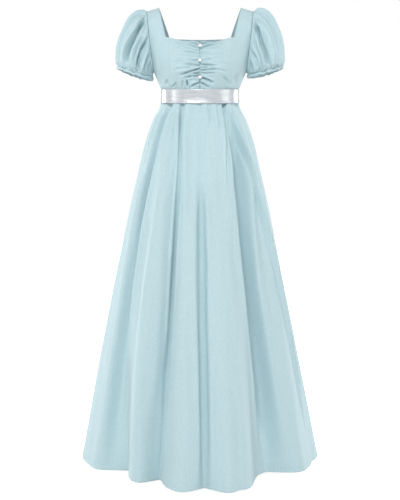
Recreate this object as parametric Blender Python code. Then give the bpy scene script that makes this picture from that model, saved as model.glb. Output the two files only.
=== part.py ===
"""Empire-line ball gown, worn and filled out with no wearer.

Metres, +Z up, the front faces -Y and +X is the wearer's left. The origin is midway between the tops of
the two shoulder straps, where the wearer's shoulders carry the gown, and the hem is at the bottom.
"""

import math

import bpy
from mathutils import Vector

# Cloth and seams
CLOTH = 0.0015  # thickness of every cloth wall
SEAM_GAP = 0.0003  # space left between two pieces at a seam
HALF_GAP = SEAM_GAP / 2
RIBBON = 0.0012  # thickness of the satin belt

# Heights that drive the gown
WAIST_HEIGHT = -0.266  # the raised waist seam at the sides, under the belt
HEM_HEIGHT = -1.400
WAIST_TILT = 0.008  # the waist seam is this much lower in front and higher behind
BELT_WIDTH = 0.042
BELT_LAP = 0.030  # how far one end of the ribbon lies over the other, centre back
BELT_SPACE = 0.0003  # more than the seam's gap, because the ribbon has fewer points than the cloth
BELT_ROWS = (
    # share of the width upwards, distance that the row stands off the ring
    (0.0, 0.0026),
    (0.5, 0.0000),
    (1.0, 0.0010),
)
BELT_STEPS = 76

# The waist seam's ring: half width, front and back depth, and how square its corners are
WAIST_HALF_WIDTH = 0.1180
WAIST_FRONT = 0.0990
WAIST_BACK = 0.0880
WAIST_SQUARENESS = 2.2

# The armhole is an ellipse in a plane that leans outwards at the shoulder
ARMHOLE_X = 0.1525
ARMHOLE_Z = -0.1000
ARMHOLE_HALF_HEIGHT = 0.0925
ARMHOLE_HALF_DEPTH = 0.0560
ARMHOLE_LEAN = 0.113  # change of x for each metre of height

# Bodice halves, a row for each level from the waist seam to the shoulder seam. strap_x and strap_z
# follow the strap's inner edge, carried on down the panel to the waist.
FRONT_LEVELS = (
    # name, centre_z, strap_z, edge_z, depth, squareness, strap_x
    ("waist seam", -0.2740, -0.2715, -0.2660, 0.0990, 2.20, 0.0780),
    ("belt top", -0.2530, -0.2500, -0.2450, 0.1000, 2.20, 0.0810),
    ("under bust", -0.2290, -0.2260, -0.2240, 0.1080, 2.25, 0.0860),
    ("bust point", -0.1900, -0.1880, -0.1925, 0.1170, 2.30, 0.0920),
    ("upper bust", -0.1510, -0.1400, -0.1500, 0.1130, 2.25, 0.0950),
    ("neckline", -0.1115, -0.0950, -0.1050, 0.0990, 2.10, 0.1033),
    ("strap low", -0.0620, -0.0640, -0.0660, 0.0790, 2.00, 0.1105),
    ("strap middle", -0.0220, -0.0250, -0.0320, 0.0560, 2.00, 0.1194),
    ("strap high", -0.0020, -0.0030, -0.0130, 0.0310, 2.00, 0.1247),
    ("shoulder seam", 0.0040, 0.0040, -0.0075, 0.0000, 2.00, 0.1258),
)
BACK_LEVELS = (
    # name, centre_z, strap_z, edge_z, depth, squareness, strap_x
    ("waist seam", -0.2580, -0.2605, -0.2660, 0.0880, 2.20, 0.0780),
    ("belt top", -0.2370, -0.2395, -0.2450, 0.0888, 2.20, 0.0800),
    ("under bust", -0.2180, -0.2200, -0.2240, 0.0930, 2.30, 0.0820),
    ("bust point", -0.1860, -0.1870, -0.1925, 0.1000, 2.40, 0.0840),
    ("upper bust", -0.1380, -0.1380, -0.1480, 0.1050, 2.40, 0.0860),
    ("neckline", -0.0815, -0.0800, -0.0900, 0.0950, 2.20, 0.0965),
    ("strap low", -0.0520, -0.0540, -0.0580, 0.0780, 2.00, 0.1043),
    ("strap middle", -0.0210, -0.0230, -0.0300, 0.0560, 2.00, 0.1155),
    ("strap high", -0.0020, -0.0030, -0.0130, 0.0310, 2.00, 0.1228),
    ("shoulder seam", 0.0040, 0.0040, -0.0075, 0.0000, 2.00, 0.1258),
)
NECK_LEVEL = 5  # the row above at which the neckline crosses the panel
ARMPIT_LEVEL = 3  # the row above at which the side seam meets the armhole
SIDE_HALF_WIDTHS = (0.1180, 0.1188, 0.1290, 0.1420)  # side seam, rows 0 to ARMPIT_LEVEL

# The cut of the bust: two cups, and the centre seam drawn in by its gathers
CUP_X = 0.062
CUP_Z = -0.186
CUP_HEIGHT = 0.018
CUP_HALF_WIDTH = 0.036
CUP_HALF_HEIGHT = 0.034
GATHERS = 9  # gathers along the centre front seam, on each side
GATHER_DEPTH = 0.0032
GATHER_REACH = 0.015  # distance from the seam at which they are deepest
GATHER_STEPS = 4  # rows of points for each gather
GATHERS_START = 0.95  # the bodice row, just above the belt, at which the gathers begin
GATHERS_RISE = 0.60  # rows over which they reach their depth
CUPS_START = 0.90
CUPS_RISE = 1.10

# Rows and columns of points in the bodice panels
FRONT_STRAP_COLUMN = 7
FRONT_EDGE_COLUMN = 11
BACK_STRAP_COLUMN = 5
BACK_EDGE_COLUMN = 9
BACK_LOWER_ROWS = 9
STRAP_ROWS = 6
COLUMN_CROWDING = 1.4  # above 1, the columns stand closer together near the centre seam
ROW_BOW = 1.6  # how each row rises from the centre seam to the strap's edge

# Pearl buttons on the centre front seam
BUTTON_RADIUS = 0.0052
BUTTON_HALF_THICKNESS = 0.0036
BUTTONS = (
    # name, height
    ("button_top", -0.1240),
    ("button_middle", -0.1685),
    ("button_bottom", -0.2180),
)

# Sleeve rings from the armhole to the cuff: each is an oval across from its outer to its inner point,
# and sag is how far its front and back hang below a flat ring
SLEEVE_RINGS = (
    # name, outer_x, outer_z, inner_x, inner_z, half_depth, sag
    ("armhole", 0.1630, -0.0075, 0.1420, -0.1925, 0.0560, 0.0000),
    ("head", 0.1740, -0.0025, 0.1436, -0.1952, 0.0600, 0.0000),
    ("crown", 0.1930, -0.0045, 0.1448, -0.1972, 0.0655, 0.0000),
    ("shoulder", 0.2150, -0.0210, 0.1454, -0.1990, 0.0705, 0.0000),
    ("upper", 0.2360, -0.0550, 0.1456, -0.2006, 0.0740, 0.0004),
    ("middle", 0.2520, -0.0920, 0.1454, -0.2022, 0.0755, 0.0010),
    ("full", 0.2610, -0.1260, 0.1448, -0.2038, 0.0745, 0.0020),
    ("low", 0.2630, -0.1510, 0.1440, -0.2054, 0.0690, 0.0032),
    ("gathered", 0.2600, -0.1670, 0.1432, -0.2068, 0.0590, 0.0042),
    ("cuff seam", 0.2560, -0.1735, 0.1426, -0.2080, 0.0520, 0.0046),
)
# The two sleeves hang a little differently
SLEEVE_SETS = (
    # name, slimmer, underarm_lift
    ("left", 0.0025, 0.0050),
    ("right", -0.0015, -0.0035),
)
SLIMMING_END = 1.35  # the head takes more of the slimming than the cuff
UNDERARM_OUT = 0.4  # how far the underarm moves out for each metre that it is lifted
CUFF_DROP = 0.0090  # width of the elastic casing
CUFF_WAVE_DEPTH = 0.0008  # every second column of the cuff lies this much further in

# Valleys of the sleeves' folds. 0 degrees is the outer line, 90 the front and 180 the underarm.
RIGHT_SLEEVE_VALLEYS = (
    # head angle, cuff angle, head depth, middle depth, cuff depth
    (-150, -152, 0.0010, 0.0040, 0.0035),
    (-112, -118, 0.0015, 0.0080, 0.0045),
    (-78, -88, 0.0035, 0.0100, 0.0050),
    (-52, -58, 0.0050, 0.0060, 0.0050),
    (-26, -30, 0.0055, 0.0080, 0.0050),
    (-6, -4, 0.0050, 0.0040, 0.0045),
    (14, 20, 0.0060, 0.0045, 0.0050),
    (34, 42, 0.0060, 0.0050, 0.0050),
    (60, 72, 0.0060, 0.0135, 0.0060),
    (92, 104, 0.0010, 0.0110, 0.0060),
    (142, 146, 0.0010, 0.0050, 0.0035),
)
LEFT_SLEEVE_VALLEYS = (
    # head angle, cuff angle, head depth, middle depth, cuff depth
    (-148, -150, 0.0010, 0.0040, 0.0035),
    (-108, -116, 0.0020, 0.0090, 0.0045),
    (-74, -84, 0.0030, 0.0055, 0.0050),
    (-48, -56, 0.0050, 0.0100, 0.0050),
    (-24, -28, 0.0055, 0.0045, 0.0050),
    (-6, -8, 0.0050, 0.0050, 0.0045),
    (26, 30, 0.0060, 0.0035, 0.0045),
    (44, 50, 0.0060, 0.0050, 0.0050),
    (66, 88, 0.0060, 0.0125, 0.0060),
    (106, 116, 0.0010, 0.0060, 0.0050),
    (142, 148, 0.0010, 0.0060, 0.0045),
)

# Skirt outline without its folds, from the waist seam to the hem
SKIRT_SECTIONS = (
    # height, half_width, front, back
    (-0.266, 0.1180, 0.0990, 0.0880),
    (-0.287, 0.1192, 0.1000, 0.0895),
    (-0.310, 0.1270, 0.1070, 0.0990),
    (-0.340, 0.1420, 0.1200, 0.1160),
    (-0.400, 0.1625, 0.1400, 0.1390),
    (-0.460, 0.1770, 0.1550, 0.1560),
    (-0.590, 0.2060, 0.1850, 0.1870),
    (-0.840, 0.2550, 0.2350, 0.2400),
    (-1.090, 0.3020, 0.2880, 0.2920),
    (-1.400, 0.3560, 0.3480, 0.3540),
)
SKIRT_SQUARENESS = 2.05

# Lines of the skirt's ridges and valleys. 0 degrees is the centre front and 90 the wearer's left side.
# Each line is placed at the belt, at the thigh and at the hem, with its distance out from the outline.
THIGH_HEIGHT = -0.780
SKIRT_FOLDS = (
    # name, waist_angle, thigh_angle, hem_angle, waist_out, thigh_out, hem_out
    ("centre back ridge", -180, -180, -180, 0.000, 0.006, 0.016),
    ("right inner back valley", -166, -165, -163, -0.005, -0.016, -0.036),
    ("right back ridge", -152, -151, -149, 0.000, 0.008, 0.024),
    ("right outer back valley", -137, -136, -134, -0.006, -0.022, -0.050),
    ("right hip ridge", -121, -121, -120, 0.000, 0.006, 0.018),
    ("right side valley", -107, -108, -109, -0.005, -0.010, -0.016),
    ("right side ridge", -90, -92, -96, 0.001, 0.011, 0.020),
    ("right front ridge", -71, -76, -68, 0.000, 0.003, -0.004),
    ("right deep valley", -56, -61, -53, -0.006, -0.020, -0.088),
    ("right thigh ridge", -40, -41, -33, 0.000, 0.002, -0.016),
    ("right inner valley", -29, -22, -25, -0.005, -0.028, -0.069),
    ("right centre ridge", -19, -12, -8, 0.000, 0.008, 0.028),
    ("centre valley", -1, 1, 2, -0.003, -0.004, -0.014),
    ("left centre ridge", 8, 9, 13, 0.000, 0.008, 0.040),
    ("left broad ridge", 26, 23, 19, 0.000, 0.006, 0.024),
    ("left deep valley", 43, 40, 46, -0.006, -0.034, -0.090),
    ("left thigh ridge", 58, 65, 63, 0.000, 0.005, -0.002),
    ("left side dip", 68, 77, 78, -0.004, -0.005, -0.002),
    ("left side ridge", 80, 92, 93, 0.000, 0.005, 0.018),
    ("left side valley", 100, 108, 110, -0.005, -0.012, -0.028),
    ("left hip ridge", 118, 123, 124, 0.000, 0.008, 0.020),
    ("left outer back valley", 136, 137, 138, -0.006, -0.020, -0.046),
    ("left back ridge", 151, 151, 151, 0.000, 0.008, 0.022),
    ("left inner back valley", 166, 165, 165, -0.005, -0.018, -0.040),
)
FOLD_SHARPNESS = 1.45  # 2 gives evenly round waves, and 1 a crease along each valley
STEEP_FALL_AFTER = "left broad ridge"
STEEP_FALL_SHARPNESS = 3.4  # the fall after that ridge at the hem, down to a wide flat valley
ROUNDING_DROP = 0.15  # height over which the waist's squarish ring becomes the skirt's rounder one
TILT_DROP = 0.40  # height over which the waist seam's tilt fades from the rows below it
DEGREES_A_STEP = 3.4  # widest step between two columns of points
SKIRT_HEIGHTS = (
    -0.266, -0.283, -0.300, -0.320, -0.345, -0.385, -0.450, -0.560, -0.720, -0.920, -1.150, -1.400,
)  # rows of points, closer together where the gathers spread

# Colours of the materials
PALE_BLUE = (0.50, 0.66, 0.71, 1.0)
SILVER_WHITE = (0.80, 0.83, 0.85, 1.0)
PEARL_WHITE = (0.90, 0.91, 0.90, 1.0)


def clear_scene():
    """Remove whatever the file opened with."""
    for obj in list(bpy.data.objects):
        bpy.data.objects.remove(obj)


def make_material(name, colour, roughness):
    """A Principled BSDF with one colour and roughness."""
    material = bpy.data.materials.new(name)
    material.use_nodes = True
    shader = material.node_tree.nodes["Principled BSDF"]
    shader.inputs["Base Color"].default_value = colour
    shader.inputs["Roughness"].default_value = roughness
    shader.inputs["Metallic"].default_value = 0.0
    return material


def ease(share):
    """0 to 1 with a level start and end."""
    share = min(max(share, 0.0), 1.0)
    return share * share * (3.0 - 2.0 * share)


def blend(first, last, share):
    return first + (last - first) * share


def smooth_read(keys, values, key):
    """The value at key on a smooth curve through the values, which stand at rising or falling keys."""
    last = len(keys) - 1
    falling = keys[0] > keys[last]
    index = 0
    while index < last - 1 and ((key < keys[index + 1]) if falling else (key > keys[index + 1])):
        index += 1
    span = keys[index + 1] - keys[index]
    share = min(max((key - keys[index]) / span, 0.0), 1.0)

    def slope(at):
        if at == 0:
            return (values[1] - values[0]) / (keys[1] - keys[0])
        if at == last:
            return (values[last] - values[last - 1]) / (keys[last] - keys[last - 1])
        before = (values[at] - values[at - 1]) / (keys[at] - keys[at - 1])
        after = (values[at + 1] - values[at]) / (keys[at + 1] - keys[at])
        if before * after <= 0.0:
            return 0.0
        return 2.0 * before * after / (before + after)

    square = share * share
    cube = square * share
    return (
        (2 * cube - 3 * square + 1) * values[index]
        + (cube - 2 * square + share) * span * slope(index)
        + (3 * square - 2 * cube) * values[index + 1]
        + (cube - square) * span * slope(index + 1)
    )


def oval_radius(angle, half_width, front, back, squareness):
    """Distance out from the middle of a squarish oval, at an angle from the centre front."""
    depth = front if math.cos(angle) >= 0.0 else back
    across = (abs(math.sin(angle)) / half_width) ** squareness
    along = (abs(math.cos(angle)) / depth) ** squareness
    return (across + along) ** (-1.0 / squareness)


def waist_height(angle):
    """Height of the tilted waist seam."""
    return WAIST_HEIGHT - WAIST_TILT * math.cos(angle)


def waist_point(angle, out=0.0, up=0.0):
    """A point of the waist seam's ring, moved out and up."""
    radius = out + oval_radius(angle, WAIST_HALF_WIDTH, WAIST_FRONT, WAIST_BACK, WAIST_SQUARENESS)
    return Vector((radius * math.sin(angle), -radius * math.cos(angle), waist_height(angle) + up))


def grid_normals(grid, ring):
    """The outward normal at each point of a grid whose rows run left to right as seen from outside.

    Rows go upwards. ring says that each row closes on itself.
    """
    rows, columns = len(grid), len(grid[0])
    normals = []
    for row in range(rows):
        line = []
        for column in range(columns):
            if grid[row][column] is None:
                line.append(None)
                continue

            def near(step_row, step_column):
                at_row = row + step_row
                at_column = column + step_column
                if ring:
                    at_column %= columns
                inside = 0 <= at_row < rows and 0 <= at_column < columns
                found = grid[at_row][at_column] if inside else None
                return grid[row][column] if found is None else found

            across = near(0, 1) - near(0, -1)
            upwards = near(1, 0) - near(-1, 0)
            line.append(across.cross(upwards).normalized())
        normals.append(line)
    return normals


def cloth_wall(name, grid, normals, thickness, material, ring=False):
    """One closed cloth wall: the grid is its outer side, and its inner side lies a thickness behind."""
    rows, columns = len(grid), len(grid[0])
    index = {}
    points = []
    for side in (0.0, thickness):
        for row in range(rows):
            for column in range(columns):
                if grid[row][column] is not None:
                    index[(side > 0.0, row, column)] = len(points)
                    points.append(grid[row][column] - normals[row][column] * side)
    faces = []
    outer_edges = {}
    for row in range(rows - 1):
        for column in range(columns if ring else columns - 1):
            beside = (column + 1) % columns
            corners = ((row, column), (row, beside), (row + 1, beside), (row + 1, column))
            if any(grid[r][c] is None for r, c in corners):
                continue
            # Both sides are split along the same diagonal, so that the wall keeps its thickness.
            first, second, third, fourth = (grid[r][c] for r, c in corners)
            turned = (first - third).length > (second - fourth).length
            around = corners[1:] + corners[:1] if turned else corners
            for half in ((0, 1, 2), (0, 2, 3)):
                faces.append([index[(False, *around[at])] for at in half])
                faces.append([index[(True, *around[at])] for at in reversed(half)])
            for start, end in zip(corners, corners[1:] + corners[:1]):
                if (end, start) in outer_edges:
                    del outer_edges[(end, start)]
                else:
                    outer_edges[(start, end)] = True
    for start, end in outer_edges:
        faces.append(
            [
                index[(False, *end)],
                index[(False, *start)],
                index[(True, *start)],
                index[(True, *end)],
            ]
        )
    mesh = bpy.data.meshes.new(name)
    mesh.from_pydata(points, [], faces)
    mesh.materials.append(material)
    mesh.shade_smooth()
    mesh.set_sharp_from_angle(angle=math.radians(50))
    obj = bpy.data.objects.new(name, mesh)
    bpy.context.scene.collection.objects.link(obj)
    return obj


def armhole_point(height, side):
    """The armhole's edge at a height. side is -1 on its front half and 1 on its back half."""
    share = min(max((height - ARMHOLE_Z) / ARMHOLE_HALF_HEIGHT, -1.0), 1.0)
    depth = ARMHOLE_HALF_DEPTH * math.sqrt(1.0 - share * share)
    return Vector((ARMHOLE_X + ARMHOLE_LEAN * (height - ARMHOLE_Z), side * depth, height))


def cup_fullness(x, z):
    """How far a bust cup stands out from the plain section."""
    across = (x - CUP_X) / CUP_HALF_WIDTH
    upwards = (z - CUP_Z) / CUP_HALF_HEIGHT
    return CUP_HEIGHT * math.exp(-0.5 * (across * across + upwards * upwards))


def gather_offset(x, level):
    """How far a gather of the centre front seam lifts or lowers the cloth. level counts the bodice rows."""
    share = level / NECK_LEVEL
    reach = GATHER_REACH * (1.0 + 0.45 * math.sin(2.3 + 7.1 * share))
    swell = (x / reach) * math.exp(1.0 - x / reach)
    ends = ease((level - GATHERS_START) / GATHERS_RISE) * (0.45 + 0.55 * ease((1.0 - share) * 12.0))
    return GATHER_DEPTH * swell * ends * math.cos(2.0 * math.pi * GATHERS * share)


def bodice_point(levels, side, level, column, strap_column, edge_column):
    """A point of a bodice half, on the wearer's left.

    side is -1 in front and 1 behind. level is a place among the rows of the levels table, from the waist
    seam up. column 0 is the centre seam, strap_column the strap's inner edge and edge_column the side
    seam or armhole.
    """
    places = list(range(len(levels)))
    centre_z, strap_z, edge_z, depth, squareness, strap_x = (
        smooth_read(places, [row[field] for row in levels], level) for field in range(1, 7)
    )
    if level <= ARMPIT_LEVEL:
        edge_x = smooth_read(list(range(ARMPIT_LEVEL + 1)), SIDE_HALF_WIDTHS, level)
        edge_y = 0.0
    else:
        edge = armhole_point(edge_z, side)
        edge_x = edge.x
        edge_y = abs(edge.y)
    if level >= len(levels) - 1 - 1e-9:
        share = (column - strap_column) / (edge_column - strap_column)
        return Vector((blend(strap_x, edge_x, share), 0.0, blend(strap_z, edge_z, share)))
    depth = max(depth, edge_y * 1.02)
    half_width = edge_x / (1.0 - (edge_y / depth) ** squareness) ** (1.0 / squareness)

    def on_section(x):
        y = depth * max(1.0 - (x / half_width) ** squareness, 0.0) ** (1.0 / squareness)
        return math.atan2(x, y)

    strap_angle = on_section(strap_x)
    edge_angle = math.atan2(edge_x, edge_y)
    if column <= strap_column:
        angle = on_section(strap_x * (column / strap_column) ** COLUMN_CROWDING)
    else:
        angle = blend(strap_angle, edge_angle, (column - strap_column) / (edge_column - strap_column))
    radius = oval_radius(angle, half_width, depth, depth, squareness)
    x = radius * math.sin(angle)
    y = radius * math.cos(angle)
    past_strap = max((column - strap_column) / (edge_column - strap_column), 0.0)
    if level == 0:
        z = WAIST_HEIGHT + side * WAIST_TILT * math.cos(angle)
    elif past_strap > 0.0:
        z = blend(strap_z, edge_z, past_strap)
    else:
        z = blend(centre_z, strap_z, (x / strap_x) ** ROW_BOW)
    if side < 0.0:
        rise = ease((level - CUPS_START) / CUPS_RISE)
        y += cup_fullness(x, z) * rise * (1.0 - ease(past_strap * 0.8))
        if level <= NECK_LEVEL:
            y += gather_offset(x, level)
    return Vector((x, side * y, z))


def mirrored(grid):
    """The same grid on the wearer's right, turned so that its rows still run left to right."""
    return [
        [None if p is None else Vector((-p.x, p.y, p.z)) for p in reversed(row)] for row in grid
    ]


def bodice_panels():
    """Two fronts and two backs, each cut in one with its half of the shoulder straps."""
    halves = (
        ("bodice_front", FRONT_LEVELS, -1.0, FRONT_STRAP_COLUMN, FRONT_EDGE_COLUMN, GATHERS * GATHER_STEPS),
        ("bodice_back", BACK_LEVELS, 1.0, BACK_STRAP_COLUMN, BACK_EDGE_COLUMN, BACK_LOWER_ROWS),
    )
    for name, levels, side, strap_column, edge_column, lower_rows in halves:
        heights = [NECK_LEVEL * row / lower_rows for row in range(lower_rows + 1)]
        top = len(levels) - 1
        heights += [blend(NECK_LEVEL, top, row / STRAP_ROWS) for row in range(1, STRAP_ROWS + 1)]
        grid = []
        for level in heights:
            first = 0 if level <= NECK_LEVEL else strap_column
            row = [None] * first
            for column in range(first, edge_column + 1):
                row.append(bodice_point(levels, side, level, column, strap_column, edge_column))
            grid.append(row)
        if side > 0.0:
            grid = [list(reversed(row)) for row in grid]
        normals = grid_normals(grid, ring=False)
        centre = 0 if side < 0.0 else edge_column
        outside = edge_column - centre
        for row, level in enumerate(heights):
            for column in range(edge_column + 1):
                point, normal = grid[row][column], normals[row][column]
                if point is None:
                    continue
                if column == centre:
                    normal.x = 0.0
                    point.x += HALF_GAP
                on_side_seam = column == outside and level <= ARMPIT_LEVEL
                if on_side_seam or row == len(heights) - 1:
                    normal.y = 0.0
                    point.y += side * HALF_GAP
                if row == 0:
                    normal.z = 0.0
                    point.z += HALF_GAP
                normal.normalize()
        cloth_wall(name + "_left", grid, normals, CLOTH, CLOTH_MATERIAL)
        other_normals = mirrored(normals)
        cloth_wall(name + "_right", mirrored(grid), other_normals, CLOTH, CLOTH_MATERIAL)


def wave_columns(valleys):
    """For each column of a sleeve: its angles at the head and cuff, and its depths there and between.

    A ridge stands midway between two valleys, with a column halfway down each slope. The columns run
    from the front of the sleeve round its outer line to its back.
    """
    columns = []
    count = len(valleys)
    for at in range(count):
        here = valleys[at]
        after = valleys[(at + 1) % count]
        turn = 360.0 if at == count - 1 else 0.0
        for quarter in range(4):
            share = quarter / 4.0
            wave = 0.5 + 0.5 * math.cos(2.0 * math.pi * share)
            head = blend(here[0], after[0] + turn, share)
            cuff = blend(here[1], after[1] + turn, share)
            depths = [wave * blend(here[field], after[field], share) for field in (2, 3, 4)]
            columns.append((head, cuff, *depths))
    columns.reverse()
    return columns


def sleeve_point(place, angle, slimmer, lift):
    """A point of the sleeve's plain form. place counts the sleeve rings, and angle is in radians."""
    places = list(range(len(SLEEVE_RINGS)))
    outer_x, outer_z, inner_x, inner_z, half_depth, sag = (
        smooth_read(places, [ring[field] for ring in SLEEVE_RINGS], place) for field in range(1, 7)
    )
    along = place / (len(SLEEVE_RINGS) - 1)
    outer_x -= slimmer * math.sin(math.pi * min(along * SLIMMING_END, 1.0))
    inner_z += lift * ease(along)
    inner_x += UNDERARM_OUT * max(lift, 0.0) * ease(along * 1.5)
    share = 0.5 - 0.5 * math.cos(angle)
    x = blend(outer_x, inner_x, share)
    z = blend(outer_z, inner_z, share) - sag * math.sin(angle) ** 2
    return Vector((x, -half_depth * math.sin(angle), z))


def sleeve_and_cuff(side_name, slimmer, lift, valleys, mirror):
    """A puffed sleeve, gathered into the armhole and into its cuff, and the casing of the elastic."""
    columns = wave_columns(valleys)
    last = len(SLEEVE_RINGS) - 1
    grid = []
    for ring in range(last, -1, -1):
        row = []
        for head, cuff, head_depth, middle_depth, cuff_depth in columns:
            along = ring / last
            angle = math.radians(blend(head, cuff, ease(along)))
            row.append(sleeve_point(ring, angle, slimmer, lift))
        grid.append(row)
    normals = grid_normals(grid, ring=True)
    armhole_across = Vector((1.0, 0.0, -ARMHOLE_LEAN)).normalized()
    down_arm = cuff_drop_direction(lift)
    for row, square_to in ((last, armhole_across), (0, down_arm)):
        for column, normal in enumerate(normals[row]):
            normals[row][column] = (normal - square_to * normal.dot(square_to)).normalized()
    for row in range(last + 1):
        along = (last - row) / last
        for column, (head, cuff, head_depth, middle_depth, cuff_depth) in enumerate(columns):
            if row == last:
                depth = 0.0
            elif row == 0:
                depth = CUFF_WAVE_DEPTH if column % 2 == 0 else 0.0
            else:
                depth = smooth_read([0.0, 0.45, 1.0], [head_depth, middle_depth, cuff_depth], along)
            grid[row][column] -= normals[row][column] * depth
    for point in grid[last]:
        point += armhole_across * SEAM_GAP
    casing = []
    for share in (1.0, 0.0):
        row = []
        for point in grid[0]:
            row.append(point + down_arm * blend(SEAM_GAP, CUFF_DROP, share))
        casing.append(row)
    casing_normals = [normals[0], normals[0]]
    pieces = (("sleeve_", grid, normals), ("cuff_", casing, casing_normals))
    for name, points, outward in pieces:
        if mirror:
            points = mirrored(points)
            outward = mirrored(outward)
        cloth_wall(name + side_name, points, outward, CLOTH, CLOTH_MATERIAL, ring=True)


def cuff_drop_direction(lift):
    """The way down the arm, square to the cuff seam."""
    cuff = SLEEVE_RINGS[-1]
    across = Vector((cuff[1] - cuff[3], 0.0, cuff[2] - cuff[4] - lift)).normalized()
    return Vector((across.z, 0.0, -across.x))


def fold_lines(height):
    """Angle and distance out of each fold line of the skirt at a height."""
    keys = (WAIST_HEIGHT - BELT_WIDTH / 2, THIGH_HEIGHT, HEM_HEIGHT)
    lines = []
    for fold in SKIRT_FOLDS:
        angle = smooth_read(keys, fold[1:4], height)
        out = smooth_read(keys, fold[4:7], height)
        lines.append((math.radians(angle), out))
    return lines


def skirt_columns():
    """Each column of the skirt: the fold line on its right hand and how far it is to the next one."""
    columns = []
    for at in range(len(SKIRT_FOLDS)):
        here = SKIRT_FOLDS[at]
        after = SKIRT_FOLDS[(at + 1) % len(SKIRT_FOLDS)]
        turn = 360.0 if at == len(SKIRT_FOLDS) - 1 else 0.0
        widest = max(after[field] + turn - here[field] for field in (1, 2, 3))
        steps = max(3, round(widest / DEGREES_A_STEP))
        columns += [(at, step / steps) for step in range(steps)]
    return columns


def skirt_point(height, line, share, lines):
    """A point of the skirt, between fold line number line and the next one."""
    angle, out = lines[line]
    next_angle, next_out = lines[(line + 1) % len(lines)]
    if line == len(lines) - 1:
        next_angle += 2.0 * math.pi
    sharpness = FOLD_SHARPNESS
    if SKIRT_FOLDS[line][0] == STEEP_FALL_AFTER:
        below_thigh = (THIGH_HEIGHT - height) / (THIGH_HEIGHT - HEM_HEIGHT)
        sharpness = blend(FOLD_SHARPNESS, STEEP_FALL_SHARPNESS, ease(below_thigh))
    if out <= next_out:
        rise = math.sin(0.5 * math.pi * share) ** sharpness
    else:
        rise = 1.0 - math.sin(0.5 * math.pi * (1.0 - share)) ** sharpness
    angle = blend(angle, next_angle, share)
    keys = [section[0] for section in SKIRT_SECTIONS]
    half_width, front, back = (
        smooth_read(keys, [section[field] for section in SKIRT_SECTIONS], height) for field in (1, 2, 3)
    )
    squareness = blend(WAIST_SQUARENESS, SKIRT_SQUARENESS, ease((WAIST_HEIGHT - height) / ROUNDING_DROP))
    fold_share = ease((WAIST_HEIGHT - height) / (BELT_WIDTH / 2))
    radius = oval_radius(angle, half_width, front, back, squareness)
    radius += blend(out, next_out, rise) * fold_share
    tilt = waist_height(angle) - WAIST_HEIGHT
    z = height + tilt * (1.0 - ease((WAIST_HEIGHT - height) / TILT_DROP))
    return Vector((radius * math.sin(angle), -radius * math.cos(angle), z))


def skirt_panels():
    """The gathered skirt: one front panel from side to side, and two back panels."""
    columns = skirt_columns()
    grid = []
    for height in reversed(SKIRT_HEIGHTS):
        lines = fold_lines(height)
        grid.append([skirt_point(height, line, share, lines) for line, share in columns])
    normals = grid_normals(grid, ring=True)
    top = len(grid) - 1
    for column in range(len(columns)):
        normal = normals[top][column]
        normals[top][column] = Vector((normal.x, normal.y, 0.0)).normalized()
        grid[top][column].z -= HALF_GAP
    names = [fold[0] for fold in SKIRT_FOLDS]
    right_seam = columns.index((names.index("right side ridge"), 0.0))
    left_seam = columns.index((names.index("left side ridge"), 0.0))
    count = len(columns)
    panels = (
        ("skirt_back_right", 0, right_seam),
        ("skirt_front", right_seam, left_seam),
        ("skirt_back_left", left_seam, count),
    )
    for name, first, last in panels:
        points = [[row[c % count].copy() for c in range(first, last + 1)] for row in grid]
        outward = [[row[c % count] for c in range(first, last + 1)] for row in normals]
        for row in points:
            for end, inward in ((0, 1), (-1, -2)):
                row[end] += (row[inward] - row[end]).normalized() * HALF_GAP
        cloth_wall(name, points, outward, CLOTH, CLOTH_MATERIAL)


def belt():
    """A satin ribbon round the waist seam, its end lapped over its start at the centre back."""
    lap_angle = BELT_LAP / WAIST_BACK
    start = math.pi - lap_angle / 2
    sweep = 2.0 * math.pi + lap_angle
    grid = []
    for share_up, flare in BELT_ROWS:
        up = BELT_WIDTH * (share_up - 0.5)
        row = []
        for step in range(BELT_STEPS + 1):
            angle = start + sweep * step / BELT_STEPS
            past_lap = ease((angle - start - sweep + 2.2 * lap_angle) / lap_angle)
            out = RIBBON + SEAM_GAP + BELT_SPACE + flare
            out += past_lap * (RIBBON + SEAM_GAP)
            row.append(waist_point(angle, out, up))
        grid.append(row)
    normals = grid_normals(grid, ring=False)
    cloth_wall("belt", grid, normals, RIBBON, RIBBON_MATERIAL)


def button_seat(height):
    """How far forward a button's middle is, when its back just clears the cloth of the front."""
    rows = 4 * GATHERS * GATHER_STEPS
    seat = 0.0
    for row in range(rows + 1):
        ends = [
            bodice_point(
                FRONT_LEVELS, -1.0, NECK_LEVEL * row / rows, column, FRONT_STRAP_COLUMN, FRONT_EDGE_COLUMN
            )
            for column in (0, 1)
        ]
        for step in range(9):
            point = ends[0].lerp(ends[1], step / 8.0)
            across = math.hypot(point.x, point.z - height) / BUTTON_RADIUS
            if across < 1.0:
                dome = BUTTON_HALF_THICKNESS * math.sqrt(1.0 - across * across)
                seat = max(seat, dome - point.y + 2.0 * SEAM_GAP)
    return seat


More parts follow.
